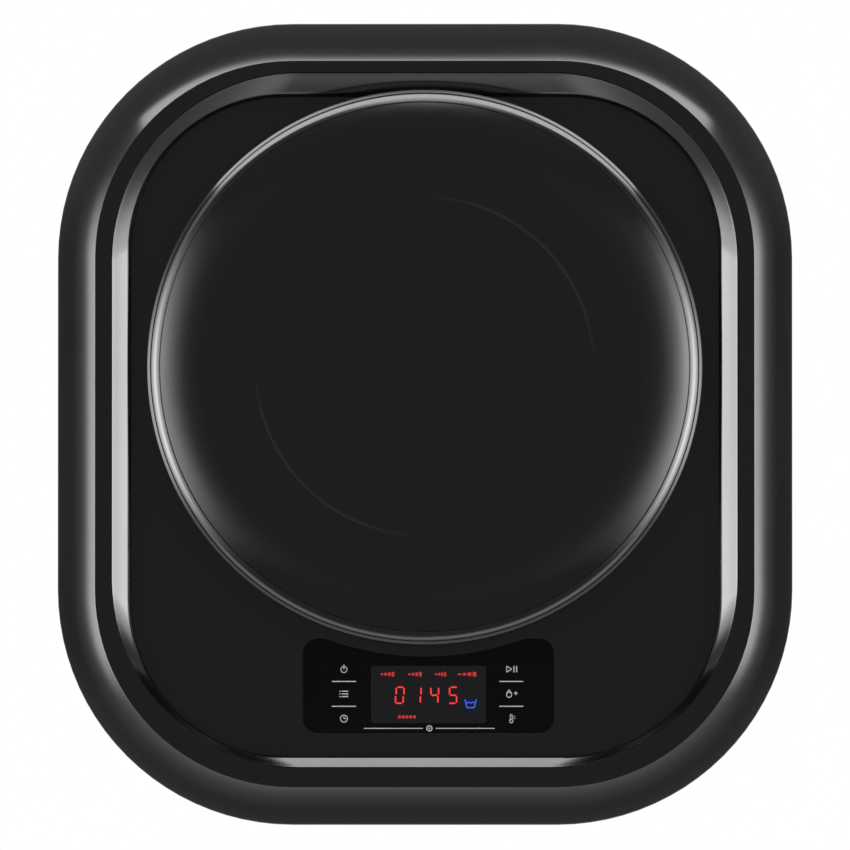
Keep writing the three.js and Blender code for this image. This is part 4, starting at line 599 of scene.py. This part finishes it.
def shoulder_rings(wall):
    """Rings from the rounded edge up the shoulder, on the outside or under a wall."""
    places = [
        tilt_place(EDGE_ROUND, FULL_DEPTH, EDGE_ROUND - wall, tilt)
        for tilt in (90, 83, 76, 69, 62)
    ]
    for step in range(9):
        tilt = EDGE_TILT + (CREST_TILT - EDGE_TILT) * step / 8
        places.append(tilt_place(*shoulder_centre, SHOULDER_RADIUS - wall, tilt))
    rings = []
    for inset, depth in places:
        climb = max(0, min(1, inset / crest_inset))
        rings.append(case_ring(inset, min(depth, CREST_DEPTH - wall), CREST_RISE * climb))
    return rings


def mouth_ring(grow, depth):
    """A ring round the opening in the crest, grown evenly."""
    width, height, corner, rise = MOUTH
    return (width + 2 * grow, height + 2 * grow, corner + grow, rise, depth)


front_shell = rounded_shell(
    "front_shell",
    [case_ring(taper_inset(SEAM_DEPTH), SEAM_DEPTH)]
    + shoulder_rings(0)
    + [mouth_ring(0, CREST_DEPTH - 0.03 * MM), mouth_ring(0, CREST_DEPTH - CASE_WALL - 0.1 * MM)]
    + shoulder_rings(CASE_WALL)[::-1]
    + [case_ring(taper_inset(SEAM_DEPTH) + CASE_WALL, SEAM_DEPTH + 0.2 * MM)],
    tube=True,
)
ease_edges(front_shell, 0.35 * MM, 24, 3)
gloss_black = finish(
    "gloss_black",
    (0.0035, 0.0035, 0.0042),
    (0.0045, 0.0045, 0.0052),
    (0.15, 0.18),
    scale=(9, 500),
    grain=0.0000006,
)
dress(front_shell, gloss_black, "case", ("front_frame",))

# ---------------------------------------------------------------- Front bezel
# Front bezel: a gloss black ring clipped behind the crest of the front frame. A shallow
# bevel runs down from the crest to a short wall, and a ledge behind it carries the panel.
PANEL = (440.5 * MM, 494.1 * MM, 116 * MM, -2.0 * MM)
PANEL_DEPTH = 254 * MM
PANEL_BACK = 251 * MM
BEVEL_FOOT = 265.9 * MM
FOOT_LEAN = -1.5 * MM
BEVEL_SAG = 0.08 * MM
SEAM_LINE = 0.45 * MM
LEDGE = 4 * MM
LEDGE_BACK = 248.2 * MM


def panel_ring(grow, depth, lean=0.0):
    """A ring round the recessed panel, grown evenly."""
    width, height, corner, rise = PANEL
    return (width + 2 * grow, height + 2 * grow, corner + grow, rise, depth, lean)


def between_rings(first, second, share, sag):
    """A ring part of the way from one ring to another, pushed in toward the wall."""
    ring = [a + (b - a) * share for a, b in zip(first, second)]
    ring[4] -= sag * 4 * share * (1 - share)
    return tuple(ring)


bevel_top = (*mouth_ring(-SEAM_LINE, CREST_DEPTH - 0.3 * MM), 0.0)
bevel_foot = panel_ring(0, BEVEL_FOOT, FOOT_LEAN)
bevel = [between_rings(bevel_top, bevel_foot, share / 12, BEVEL_SAG) for share in range(0, 12, 2)]
bevel.append(between_rings(bevel_top, bevel_foot, 0.9, BEVEL_SAG))
bezel = rounded_shell(
    "front_bezel_ring",
    bevel
    + [
        panel_ring(0.55 * MM, BEVEL_FOOT - 0.05 * MM, FOOT_LEAN),
        panel_ring(0.2 * MM, BEVEL_FOOT - 0.6 * MM, FOOT_LEAN),
        panel_ring(0, BEVEL_FOOT - 1.8 * MM, FOOT_LEAN),
        panel_ring(0, PANEL_BACK - GAP),
        panel_ring(-LEDGE, PANEL_BACK - GAP - 0.1 * MM),
        panel_ring(-LEDGE, LEDGE_BACK),
        panel_ring(CASE_WALL, LEDGE_BACK + 0.1 * MM),
        panel_ring(CASE_WALL, BEVEL_FOOT - 4 * MM),
        mouth_ring(-SEAM_LINE, CREST_DEPTH - 4.5 * MM),
    ],
    tube=True,
)
ease_edges(bezel, 0.2 * MM, 36)
dress(bezel, gloss_black, "case", ("front_bezel",))

# ---------------------------------------------------------------- Front fascia
# Front fascia: a flat gloss black panel that drops onto the bezel's ledge. It has a round
# hole for the tub's mouth, two square detergent ports, and slots for the hinge and lock.
FASCIA_HOLE = 142 * MM
DETERGENT_PORTS = (-45 * MM, -10 * MM)
PORT_Z = 221 * MM
PORT_REACH = 12 * MM
HINGE_SLOT_X = (-204.1 * MM, -193.9 * MM)
HINGE_SLOTS_Z = ((5.8 * MM, 12.8 * MM), (71.2 * MM, 78.2 * MM))
LOCK_SLOT_X = (166 * MM, 178 * MM)
LOCK_SLOT_Z = (29 * MM, 55 * MM)
CUT_BACK = 240 * MM
CUT_FRONT = 260 * MM


def use_box(made, operation, low, high):
    """Cuts away or joins on a box between two corners given as (x, depth, z)."""
    middle = [(a + b) / 2 for a, b in zip(low, high)]
    bpy.ops.object.select_all(action="DESELECT")
    bpy.ops.mesh.primitive_cube_add(size=1, location=(middle[0], -middle[1], middle[2]))
    cutter = bpy.context.object
    cutter.scale = [abs(b - a) for a, b in zip(low, high)]
    bpy.ops.object.transform_apply(scale=True)
    apply_modifier(made, "BOOLEAN", operation=operation, object=cutter, solver="EXACT")
    bpy.data.objects.remove(cutter)


fascia = rounded_shell(
    "fascia_panel",
    [panel_ring(-GAP, PANEL_BACK), panel_ring(-GAP, PANEL_DEPTH)],
    tube=False,
)
use_bar(fascia, "DIFFERENCE", 0, PANEL_DEPTH, AXIS_Z, FASCIA_HOLE, 12 * MM, "Y", 128)
through_cuts = [
    ((x - PORT_REACH, x + PORT_REACH), (PORT_Z - PORT_REACH, PORT_Z + PORT_REACH))
    for x in DETERGENT_PORTS
]
through_cuts += [(HINGE_SLOT_X, slot_z) for slot_z in HINGE_SLOTS_Z]
through_cuts.append((LOCK_SLOT_X, LOCK_SLOT_Z))
for (low_x, high_x), (low_z, high_z) in through_cuts:
    low = (low_x, CUT_BACK, low_z)
    use_box(fascia, "DIFFERENCE", low, (high_x, CUT_FRONT, high_z))

# Control panel: a separate satin black plate let into the fascia, whose top edge follows
# the round door. The display window and six flush keys are set into it.
CONTROL_X = 2.7 * MM
CONTROL_WIDTH = 187.3 * MM
CONTROL_BOTTOM = -230.9 * MM
CONTROL_TOP = -161.1 * MM
CONTROL_CORNER = 11 * MM
CONTROL_ARC = 216.5 * MM
CONTROL_FRONT = 254.8 * MM
CONTROL_BACK = 252.2 * MM
DISPLAY_Z = -202.5 * MM
DISPLAY_SIZE = (85.8 * MM, 43.7 * MM)
KEY_COLUMNS = (-60.5 * MM, 64.6 * MM)
KEY_ROWS = (-183.5 * MM, -202 * MM, -220.5 * MM)
KEY_SIZE = (30 * MM, 12 * MM)
KEY_SLOT_SIZE = [side + 0.2 * MM for side in KEY_SIZE]
SLOT_CORNER = 2 * MM
WINDOW_SIZE = [side - 0.5 * MM for side in DISPLAY_SIZE]
WINDOW_CORNER = 1.8 * MM


def plate(name, x, z, width, height, corner, back, front, steps=6):
    """A flat plate with round corners between two depths."""
    made = begin(name)
    middle = (x, -back, z)
    bpy.ops.mesh.primitive_plane_add(size=1, location=middle, rotation=(math.pi / 2, 0, 0))
    bpy.ops.transform.resize(value=(width, 1, height), center_override=middle)
    if corner:
        bpy.ops.mesh.bevel(offset=corner, segments=steps, affect="VERTICES")
    bpy.ops.mesh.extrude_region_move(TRANSFORM_OT_translate={"value": (0, back - front, 0)})
    close_up()
    return made


def control_plate(name, grow, back, front):
    """The control panel's outline as a plate: flat below and hollowed above by the door."""
    height = CONTROL_TOP - CONTROL_BOTTOM + 2 * grow
    width = CONTROL_WIDTH + 2 * grow
    middle = (CONTROL_TOP + CONTROL_BOTTOM) / 2
    corner = CONTROL_CORNER + grow
    made = plate(name, CONTROL_X, middle, width, height, corner, back, front, 10)
    depth = (back + front) / 2
    use_bar(made, "DIFFERENCE", 0, depth, AXIS_Z, CONTROL_ARC - grow, 40 * MM, "Y", 256)
    return made


def cut_out(made, cutter):
    """Cuts the shape of one piece away from another and removes the cutter."""
    apply_modifier(made, "BOOLEAN", operation="DIFFERENCE", object=cutter, solver="EXACT")
    bpy.data.objects.remove(cutter)


cut_out(fascia, control_plate("control_opening", GAP, CUT_BACK, CUT_FRONT))
ease_edges(fascia, 0.3 * MM, 24)
dress(fascia, gloss_black, "case", ("front_fascia",))

control = control_plate("control_panel", 0, CONTROL_BACK, CONTROL_FRONT)
slots = [("window_hole", CONTROL_X, DISPLAY_Z, *DISPLAY_SIZE)]
slots += [("key_slot", x, z, *KEY_SLOT_SIZE) for x in KEY_COLUMNS for z in KEY_ROWS]
for slot in slots:
    cut_out(control, plate(*slot, SLOT_CORNER, CUT_BACK, CUT_FRONT))
ease_edges(control, 0.15 * MM, 40)
control_black = finish(
    "control_black",
    (0.0025, 0.0025, 0.0028),
    (0.0032, 0.0032, 0.0035),
    (0.3, 0.36),
    scale=(12, 700),
    grain=0.000001,
)
SATIN_MIRROR = 0.05
control_shader = control_black.node_tree.nodes["Principled BSDF"]
control_shader.inputs["Specular IOR Level"].default_value = SATIN_MIRROR
dress(control, control_black, "case", ("control_fascia",))

# Display window: a small plate of clear plastic tinted nearly black. It is let into the
# control panel, flush with its face and with a hairline gap all round.
window_place = (CONTROL_X, DISPLAY_Z, *WINDOW_SIZE, WINDOW_CORNER)
window = plate("display_glass", *window_place, CONTROL_BACK, CONTROL_FRONT)
ease_edges(window, 0.2 * MM, 40)
display_dark = finish(
    "display_dark",
    (0.004, 0.004, 0.006),
    (0.005, 0.005, 0.008),
    (0.12, 0.16),
    scale=(20, 900),
    grain=0.0000004,
)
dress(window, display_dark, "case", ("display_window",))

# Display: red light-emitting digits and bars, and a blue tub sign. They are lit from the
# display board and drawn here as thin marks on the face of the window.
def glowing(name, colour, strength):
    """A lit mark: the colour varies a little over it and shines by itself."""
    made = finish(name, [0.8 * part for part in colour], colour, (0.3, 0.4), (60, 900), 0.000001)
    shader = made.node_tree.nodes["Principled BSDF"]
    shader.inputs["Emission Color"].default_value = (*colour, 1)
    shader.inputs["Emission Strength"].default_value = strength
    return made


def joined(name, pieces):
    """Several small marks as one mesh."""
    bpy.ops.object.select_all(action="DESELECT")
    for piece in pieces:
        piece.select_set(True)
    bpy.context.view_layer.objects.active = pieces[0]
    bpy.ops.object.join()
    pieces[0].name = name
    return pieces[0]


PRINT_THICKNESS = 0.06 * MM
PRINT_BACK = CONTROL_FRONT - 0.04 * MM
PRINT_FRONT = PRINT_BACK + PRINT_THICKNESS


def mark(x, z, width, height, corner=0.0):
    """A flat printed bar on the control panel, in millimetres."""
    size = (width * MM, height * MM, corner * MM)
    return plate("mark", x * MM, z * MM, *size, PRINT_BACK, PRINT_FRONT, 4)


def ring_mark(x, z, outer, inner):
    """A flat printed ring on the control panel, in millimetres."""
    profile = [
        (inner * MM, PRINT_BACK),
        (outer * MM, PRINT_BACK),
        (outer * MM, PRINT_FRONT),
        (inner * MM, PRINT_FRONT),
        (inner * MM, PRINT_BACK),
    ]
    return turned("mark", profile, 32, x * MM, z * MM)


def slanted_mark(first, second, width):
    """A flat printed bar between two points given as (x, z), in millimetres."""
    made = begin("mark")
    run = Vector((second[0] - first[0], second[1] - first[1]))
    middle = ((first[0] + second[0]) / 2 * MM, -PRINT_BACK, (first[1] + second[1]) / 2 * MM)
    bpy.ops.mesh.primitive_plane_add(size=1, location=middle, rotation=(math.pi / 2, 0, 0))
    size = (run.length * MM, 1, width * MM)
    bpy.ops.transform.resize(value=size, center_override=middle)
    turn_by = math.atan2(run.y, run.x)
    bpy.ops.transform.rotate(value=turn_by, orient_axis="Y", center_override=middle)
    bpy.ops.mesh.extrude_region_move(TRANSFORM_OT_translate={"value": (0, -PRINT_THICKNESS, 0)})
    close_up()
    return made


# The seven bars of a digit as (x, z, width, height) from its middle, in millimetres.
SEGMENTS = {
    "a": (0, 6, 4.6, 1.1),
    "b": (2.9, 3.1, 1.1, 4.9),
    "c": (2.9, -3.1, 1.1, 4.9),
    "d": (0, -6, 4.6, 1.1),
    "e": (-2.9, -3.1, 1.1, 4.9),
    "f": (-2.9, 3.1, 1.1, 4.9),
    "g": (0, 0, 4.6, 1.1),
}
DIGITS = {"0": "abcdef", "1": "bc", "4": "bcfg", "5": "acdfg"}
DIGIT_LEAN = 0.09
DIGIT_COLUMNS = (-18.8, -6.0, 7.1, 21.1)
DIGIT_ROW = -203
lit = []
for x, digit in zip(DIGIT_COLUMNS, "0145"):
    for segment in DIGITS[digit]:
        dx, dz, width, height = SEGMENTS[segment]
        lit.append(mark(x + dx + DIGIT_LEAN * dz, DIGIT_ROW + dz, width, height, 0.35))
digits = joined("display_digits", lit)
red_light = glowing("red_light", (0.75, 0.03, 0.02), 0.75)
dress(digits, red_light, "case", ())
# Above the digits, four groups of four rising bars as (x, width); below them, five dots.
BAR_GROUPS = ((-28, 11), (-7.5, 11), (11.7, 9), (31.5, 15))
BAR_ROW = -187.3
DOT_ROW = -219.2
bars = []
for x, width in BAR_GROUPS:
    share = width / 4
    for step in range(4):
        place = x + share * (step - 1.5)
        bars.append(mark(place, BAR_ROW, share * 0.72, 1.2 + 0.7 * step, 0.2))
for step in range(5):
    bars.append(mark(-19 + 2.8 * step, DOT_ROW, 2.0, 2.2, 0.3))
small_marks = joined("display_marks", bars)
dim_red = glowing("dim_red_light", (0.5, 0.018, 0.02), 0.5)
dress(small_marks, dim_red, "case", ())
# A washtub's outline with a wave on its water, line by line, in millimetres.
TUB_LINE = 0.9
tub_lines = [
    ((30.0, -206.2), (31.4, -212.3)),
    ((31.4, -212.3), (37.0, -212.3)),
    ((37.0, -212.3), (38.4, -206.2)),
    ((30.4, -208.0), (31.8, -209.0)),
    ((31.8, -209.0), (33.2, -208.0)),
    ((33.2, -208.0), (34.6, -209.0)),
    ((34.6, -209.0), (36.0, -208.0)),
    ((36.0, -208.0), (37.8, -209.0)),
]
tub_sign = joined("tub_sign", [slanted_mark(*ends, TUB_LINE) for ends in tub_lines])
blue_light = glowing("blue_light", (0.02, 0.07, 0.6), 0.8)
dress(tub_sign, blue_light, "case", ())

# Panel print: thin lines of pale ink, printed on the satin plate between the keys of each
# column, and along its bottom on both sides of a small ring.
BOTTOM_LINE_Z = -227.8
lines = []
for x in KEY_COLUMNS:
    for z in (-192.7, -211.3):
        lines.append(mark(x / MM, z, 18, 0.7))
for x in (-23.6, 30.1):
    lines.append(mark(x, BOTTOM_LINE_Z, 44, 0.6))
lines.append(ring_mark(3.4, BOTTOM_LINE_Z, 2.3, 1.6))
lines.append(mark(3.4, BOTTOM_LINE_Z, 1.2, 1.2, 0.3))
panel_print = joined("panel_print", lines)
pale_ink = finish(
    "pale_ink",
    (0.5, 0.5, 0.51),
    (0.58, 0.58, 0.59),
    (0.5, 0.6),
    scale=(40, 900),
    grain=0.000001,
)
dress(panel_print, pale_ink, "case", ())

# Keys: six flush keys moulded of the same satin black plastic, each sliding in its own slot.
# A plain sign is printed on each: power, a list, a clock, then start and pause, a drop with
# a plus for rinses, and a thermometer.
KEY_CORNER = 1.9 * MM
KEY_BACK = CONTROL_BACK - 2 * MM
SIGN_LINE = 0.65
KEY_NODES = (
    ("power", "program", "delay"),
    ("start", "rinse", "heat"),
)
# Rings are (x, z, outer, inner), bars (x, z, width, height) and lines (x, z, end x, end z),
# all from the middle of the key in millimetres.
KEY_SIGNS = {
    "power": (
        ("ring", 0, -0.3, 2.6, 2.0),
        ("bar", 0, 1.6, 0.7, 3.4),
    ),
    "program": (
        ("bar", 0.7, 2, 5, 0.7),
        ("bar", 0.7, 0, 5, 0.7),
        ("bar", 0.7, -2, 5, 0.7),
        ("bar", -3.1, 2, 0.8, 0.8),
        ("bar", -3.1, 0, 0.8, 0.8),
        ("bar", -3.1, -2, 0.8, 0.8),
    ),
    "delay": (
        ("ring", 0, 0, 2.9, 2.3),
        ("bar", 0, 0.8, 0.6, 2.0),
        ("bar", 0.7, 0, 1.8, 0.6),
    ),
    "start": (
        ("line", -3.4, 2.4, -3.4, -2.4),
        ("line", -3.4, 2.3, 0.4, 0),
        ("line", -3.4, -2.3, 0.4, 0),
        ("bar", 2.0, 0, 0.8, 4.8),
        ("bar", 4.0, 0, 0.8, 4.8),
    ),
    "rinse": (
        ("line", -3.6, 0.2, -1.6, 3.0),
        ("line", 0.4, 0.2, -1.6, 3.0),
        ("ring", -1.6, -0.7, 2.2, 1.6),
        ("bar", 3.4, 0.5, 2.6, 0.7),
        ("bar", 3.4, 0.5, 0.7, 2.6),
    ),
    "heat": (
        ("ring", 0, -1.9, 1.5, 0.9),
        ("bar", -0.7, 1.1, 0.5, 3.6),
        ("bar", 0.7, 1.1, 0.5, 3.6),
        ("bar", 0, 2.9, 1.8, 0.5),
        ("bar", 2.4, 1.6, 1.4, 0.5),
        ("bar", 2.4, 0.2, 1.4, 0.5),
    ),
}


def key_sign(name, x, z):
    """The plain sign printed on one key, centred on the key."""
    parts = []
    for kind, dx, dz, *rest in KEY_SIGNS[name]:
        if kind == "ring":
            parts.append(ring_mark(x + dx, z + dz, *rest))
        elif kind == "bar":
            parts.append(mark(x + dx, z + dz, *rest))
        else:
            end = (x + rest[0], z + rest[1])
            parts.append(slanted_mark((x + dx, z + dz), end, SIGN_LINE))
    return joined(f"{name}_sign", parts)


for column, names in zip(KEY_COLUMNS, KEY_NODES):
    for z, name in zip(KEY_ROWS, names):
        outline = (column, z, *KEY_SIZE, KEY_CORNER)
        key = plate(f"{name}_key", *outline, KEY_BACK, CONTROL_FRONT)
        ease_edges(key, 0.15 * MM, 40)
        dress(key, control_black, f"{name}_key", (f"key_{name}",))
        sign = key_sign(name, column / MM, z / MM)
        dress(sign, pale_ink, f"{name}_key", ())

# ---------------------------------------------------------------- Door
# Door cover: one bowl of smoked gloss plastic, nearly flat in the middle and rolled off at
# the rim. It is clipped over the door frame inside the trim ring.
COVER_EDGE = 197.4 * MM
COVER_LIP = COVER_EDGE + 0.3 * MM
COVER_CROWN = 292 * MM
COVER_WALL = 3 * MM
COVER_STEPS = 60
COVER_SMOOTH = math.radians(24)
# The slope in degrees at each radius in millimetres.
COVER_SLOPES = (
    (0, 0),
    (100, 0.3),
    (140, 1.5),
    (150, 3),
    (160, 6),
    (168, 8.5),
    (173, 10.5),
    (178, 13.6),
    (182.4, 16.2),
    (187, 18.3),
    (190, 20.1),
    (193, 20.8),
    (195.5, 21.3),
    (198, 21.4),
)


def cover_profile(drop):
    """Points down the cover's front, following its slope from the middle to the rim."""
    points = [(0.0, COVER_CROWN - drop)]
    depth = COVER_CROWN - drop
    for step in range(1, COVER_STEPS + 1):
        radius = COVER_EDGE * step / COVER_STEPS
        for (r0, s0), (r1, s1) in zip(COVER_SLOPES, COVER_SLOPES[1:]):
            if r0 <= radius / MM <= r1:
                slope = s0 + (s1 - s0) * (radius / MM - r0) / (r1 - r0)
        depth -= COVER_EDGE / COVER_STEPS * math.tan(math.radians(slope))
        points.append((radius, depth))
    return points


cover_front = cover_profile(0)
cover_rim = cover_front[-1][1]
cover_back = [(max(r - 1.5 * MM, 0), d) for r, d in cover_profile(COVER_WALL)[::-1]]
cover = turned(
    "smoked_cover",
    cover_front
    + [(COVER_LIP, cover_rim - 0.4 * MM), (COVER_LIP, cover_rim - COVER_WALL)]
    + cover_back[1:],
    160,
)
bpy.ops.object.shade_smooth_by_angle(angle=COVER_SMOOTH)
smoked = finish(
    "smoked_cover",
    (0.0035, 0.0035, 0.004),
    (0.0045, 0.0045, 0.005),
    (0.07, 0.1),
    scale=(6, 400),
    grain=0.0000003,
)
# Two faint lighter arcs on a ring of 126 mm radius, upper right and lower left, are painted
# highlights mixed into the cover's colour, as if lamps at those two sides lit a ring there.
HIGHLIGHT_ARC_RADIUS = 126 * MM
ARC_WIDTH = 1.6 * MM


def tint_where(material, share, colour):
    """Mixes a colour over a material's own by a share that can differ from place to place."""
    tree = material.node_tree
    shader = tree.nodes["Principled BSDF"]
    tint = tree.nodes.new("ShaderNodeMix")
    tint.data_type = "RGBA"
    tint.inputs["B"].default_value = (*colour, 1)
    tree.links.new(share, tint.inputs["Factor"])
    tree.links.new(shader.inputs["Base Color"].links[0].from_socket, tint.inputs["A"])
    tree.links.new(tint.outputs["Result"], shader.inputs["Base Color"])


smoke = smoked.node_tree
smoke_math = maths(smoke)
smoke_place = smoke.nodes.new("ShaderNodeTexCoord")
smoke_split = smoke.nodes.new("ShaderNodeSeparateXYZ")
smoke.links.new(smoke_place.outputs["Object"], smoke_split.inputs["Vector"])
aside = smoke_split.outputs["X"]
upward = smoke_math("SUBTRACT", smoke_split.outputs["Z"], AXIS_Z)
squared = smoke_math("ADD", smoke_math("POWER", aside, 2), smoke_math("POWER", upward, 2))
off_arc = smoke_math("SUBTRACT", smoke_math("POWER", squared, 0.5), HIGHLIGHT_ARC_RADIUS)
from_arc = smoke_math("DIVIDE", smoke_math("ABSOLUTE", off_arc), ARC_WIDTH)
line = smoke_math("SUBTRACT", 1, from_arc)
# Only the upper right and lower left quarters get the painted highlight, the sides that the lamps
# would light.
across = smoke_math("DIVIDE", smoke_math("MULTIPLY", aside, upward), HIGHLIGHT_ARC_RADIUS**2)
fade = smoke_math("MINIMUM", smoke_math("MAXIMUM", smoke_math("MULTIPLY", across, 3), 0), 1)
painted_highlight_arcs = smoke_math("MULTIPLY", smoke_math("MAXIMUM", line, 0), fade)
# The painted highlight: the arcs lighten the cover's colour.
tint_where(smoked, painted_highlight_arcs, (0.016, 0.016, 0.017))
dress(cover, smoked, "door", ("door_cover",))

# Trim ring: a gloss black ring with two polished ridges and a fine groove between them. It
# snaps over the rim of the door frame and hides the edge of the cover.
# The front is (radius, how far behind the cover's rim) and the rest (radius, depth), all in
# millimetres.
TRIM_FRONT = (
    (197.9, 0.2),
    (198.2, 0.1),
    (200.2, 0.9),
    (201.4, 1.4),
    (203.4, 2.5),
    (204.4, 3.2),
    (204.6, 4.3),
    (204.9, 4.3),
    (205.0, 3.4),
    (206.5, 4.4),
    (207.2, 4.85),
    (207.5, 5.6),
)
TRIM_BACK = ((207.5, 269.5), (206.2, 266.6), (203.3, 266.6), (203.3, 274), (197.9, 274))
trim_back = [(radius * MM, depth * MM) for radius, depth in TRIM_BACK]
trim_front = [(radius * MM, cover_rim - drop * MM) for radius, drop in TRIM_FRONT]
trim = turned("trim_ring", trim_back[-1:] + trim_front + trim_back, 192)
ease_edges(trim, 0.12 * MM, 30)
trim_black = finish(
    "trim_black",
    (0.006, 0.006, 0.007),
    (0.008, 0.008, 0.009),
    (0.1, 0.14),
    scale=(12, 600),
    grain=0.0000004,
)
dress(trim, trim_black, "door", ("door_trim",))

# ---------------------------------------------------------------- Inside
# The pieces behind the front keep their modelled shapes and take the finish of their stuff:
# moulded plastics, rubbers, plated and stainless steels, cast alloy and coated boards.
INNER = {
    "black_plastic": ((0.012, 0.012, 0.013), (0.018, 0.018, 0.02), (0.35, 0.5), 0.0),
    "board_green": ((0.01, 0.07, 0.03), (0.015, 0.1, 0.045), (0.4, 0.5), 0.0),
    "tub_grey": ((0.32, 0.33, 0.34), (0.4, 0.41, 0.42), (0.45, 0.6), 0.0),
    "rubber_black": ((0.012, 0.012, 0.012), (0.02, 0.02, 0.02), (0.7, 0.85), 0.0),
    "gasket_grey": ((0.14, 0.145, 0.15), (0.18, 0.185, 0.19), (0.5, 0.65), 0.0),
    "stainless": ((0.56, 0.56, 0.57), (0.6, 0.6, 0.61), (0.26, 0.3), 1.0),
    "plated_steel": ((0.5, 0.5, 0.49), (0.6, 0.6, 0.58), (0.3, 0.42), 1.0),
    "cast_alloy": ((0.45, 0.45, 0.46), (0.55, 0.55, 0.56), (0.45, 0.6), 1.0),
    "white_plastic": ((0.72, 0.72, 0.7), (0.8, 0.8, 0.78), (0.35, 0.5), 0.0),
    "motor_metal": ((0.2, 0.2, 0.21), (0.28, 0.28, 0.3), (0.4, 0.5), 1.0),
}
INNER_FINISH = {
    name: finish(name, dark, light, gloss, metallic=metallic)
    for name, (dark, light, gloss, metallic) in INNER.items()
}
INNER_NODES = {
    "tub_grey": ("tub_rear", "tub_front"),
    "rubber_black": (
        "drive_belt",
        "shaft_seal",
        "fill_boot",
        "feed_hose",
        "sump_hose",
        "drain_hose",
        "cable_gland",
    ),
    "gasket_grey": ("door_gasket",),
    "stainless": ("drum_front", "drum_back", "gasket_clamp"),
    "plated_steel": (
        "hinge_bracket",
        "hinge_pin",
        "hinge_leaf",
        "door_strike",
        "lock_pin",
        "drum_shaft",
        "bearing_rear",
        "bearing_front",
        "pulley_bolt",
        "motor_rotor",
        "heater",
    ),
    "cast_alloy": ("drum_spider", "drum_pulley"),
    "black_plastic": (
        "door_frame",
        "door_lock",
        "control_housing",
        "drain_spigot",
        "drain_pump",
    ),
    "white_plastic": (
        "detergent_case",
        "inlet_valve",
        "drum_lifter_1",
        "drum_lifter_2",
        "drum_lifter_3",
        "pump_impeller",
    ),
    "board_green": ("display_board", "power_board"),
    "motor_metal": ("motor_stator",),
}


def refinish(name, material):
    """Gives a solid that keeps its modelled shape its material."""
    nodes[name].data.materials.clear()
    nodes[name].data.materials.append(material)


for look, names in INNER_NODES.items():
    for name in names:
        refinish(name, INNER_FINISH[look])

# Drum shell: rolled stainless sheet between the drum's front and back, pierced all round
# with rows of small holes. They are not cut, but drawn in the material as near-black dots of
# painted shade, the shade that a hole would show.
DRUM_RADIUS = 200 * MM
HOLES_AROUND = 72
HOLE_STEP = 15 * MM
HOLE_RADIUS = 1.6 * MM
sheet_dark, sheet_light, sheet_gloss, sheet_metallic = INNER["stainless"]
pierced = finish(
    "pierced_stainless",
    sheet_dark,
    sheet_light,
    sheet_gloss,
    metallic=sheet_metallic,
)
sheet = pierced.node_tree
sheet_math = maths(sheet)
sheet_place = sheet.nodes.new("ShaderNodeTexCoord")
sheet_split = sheet.nodes.new("ShaderNodeSeparateXYZ")
sheet.links.new(sheet_place.outputs["Object"], sheet_split.inputs["Vector"])
drum_rise = sheet_math("SUBTRACT", sheet_split.outputs["Z"], AXIS_Z)
drum_angle = sheet_math("ARCTAN2", drum_rise, sheet_split.outputs["X"])
drum_round = sheet_math("MULTIPLY", drum_angle, HOLES_AROUND / (2 * math.pi))
drum_along = sheet_math("DIVIDE", sheet_split.outputs["Y"], HOLE_STEP)
round_step = 2 * math.pi * DRUM_RADIUS / HOLES_AROUND
from_hole = []
for step, width in ((drum_round, round_step), (drum_along, HOLE_STEP)):
    place_in_cell = sheet_math("SUBTRACT", sheet_math("FLOORED_MODULO", step, 1), 0.5)
    from_hole.append(sheet_math("POWER", sheet_math("MULTIPLY", place_in_cell, width), 2))
painted_hole_shade = sheet_math("LESS_THAN", sheet_math("ADD", *from_hole), HOLE_RADIUS**2)
# Painted shade: the steel's colour turns near black inside each hole's circle.
tint_where(pierced, painted_hole_shade, (0.01, 0.01, 0.01))
refinish("drum_shell", pierced)

# Glass bowl: one piece of pressed clear glass that reaches into the drum's mouth. Its rim
# lies in a seat of the door frame, behind the cover.
clear_glass = finish(
    "clear_glass",
    (0.93, 0.96, 0.96),
    (0.96, 0.98, 0.98),
    (0.0, 0.02),
    scale=(14, 60),
    grain=0.00001,
)
glass_shader = clear_glass.node_tree.nodes["Principled BSDF"]
glass_shader.inputs["Transmission Weight"].default_value = 1.0
refinish("door_glass", clear_glass)
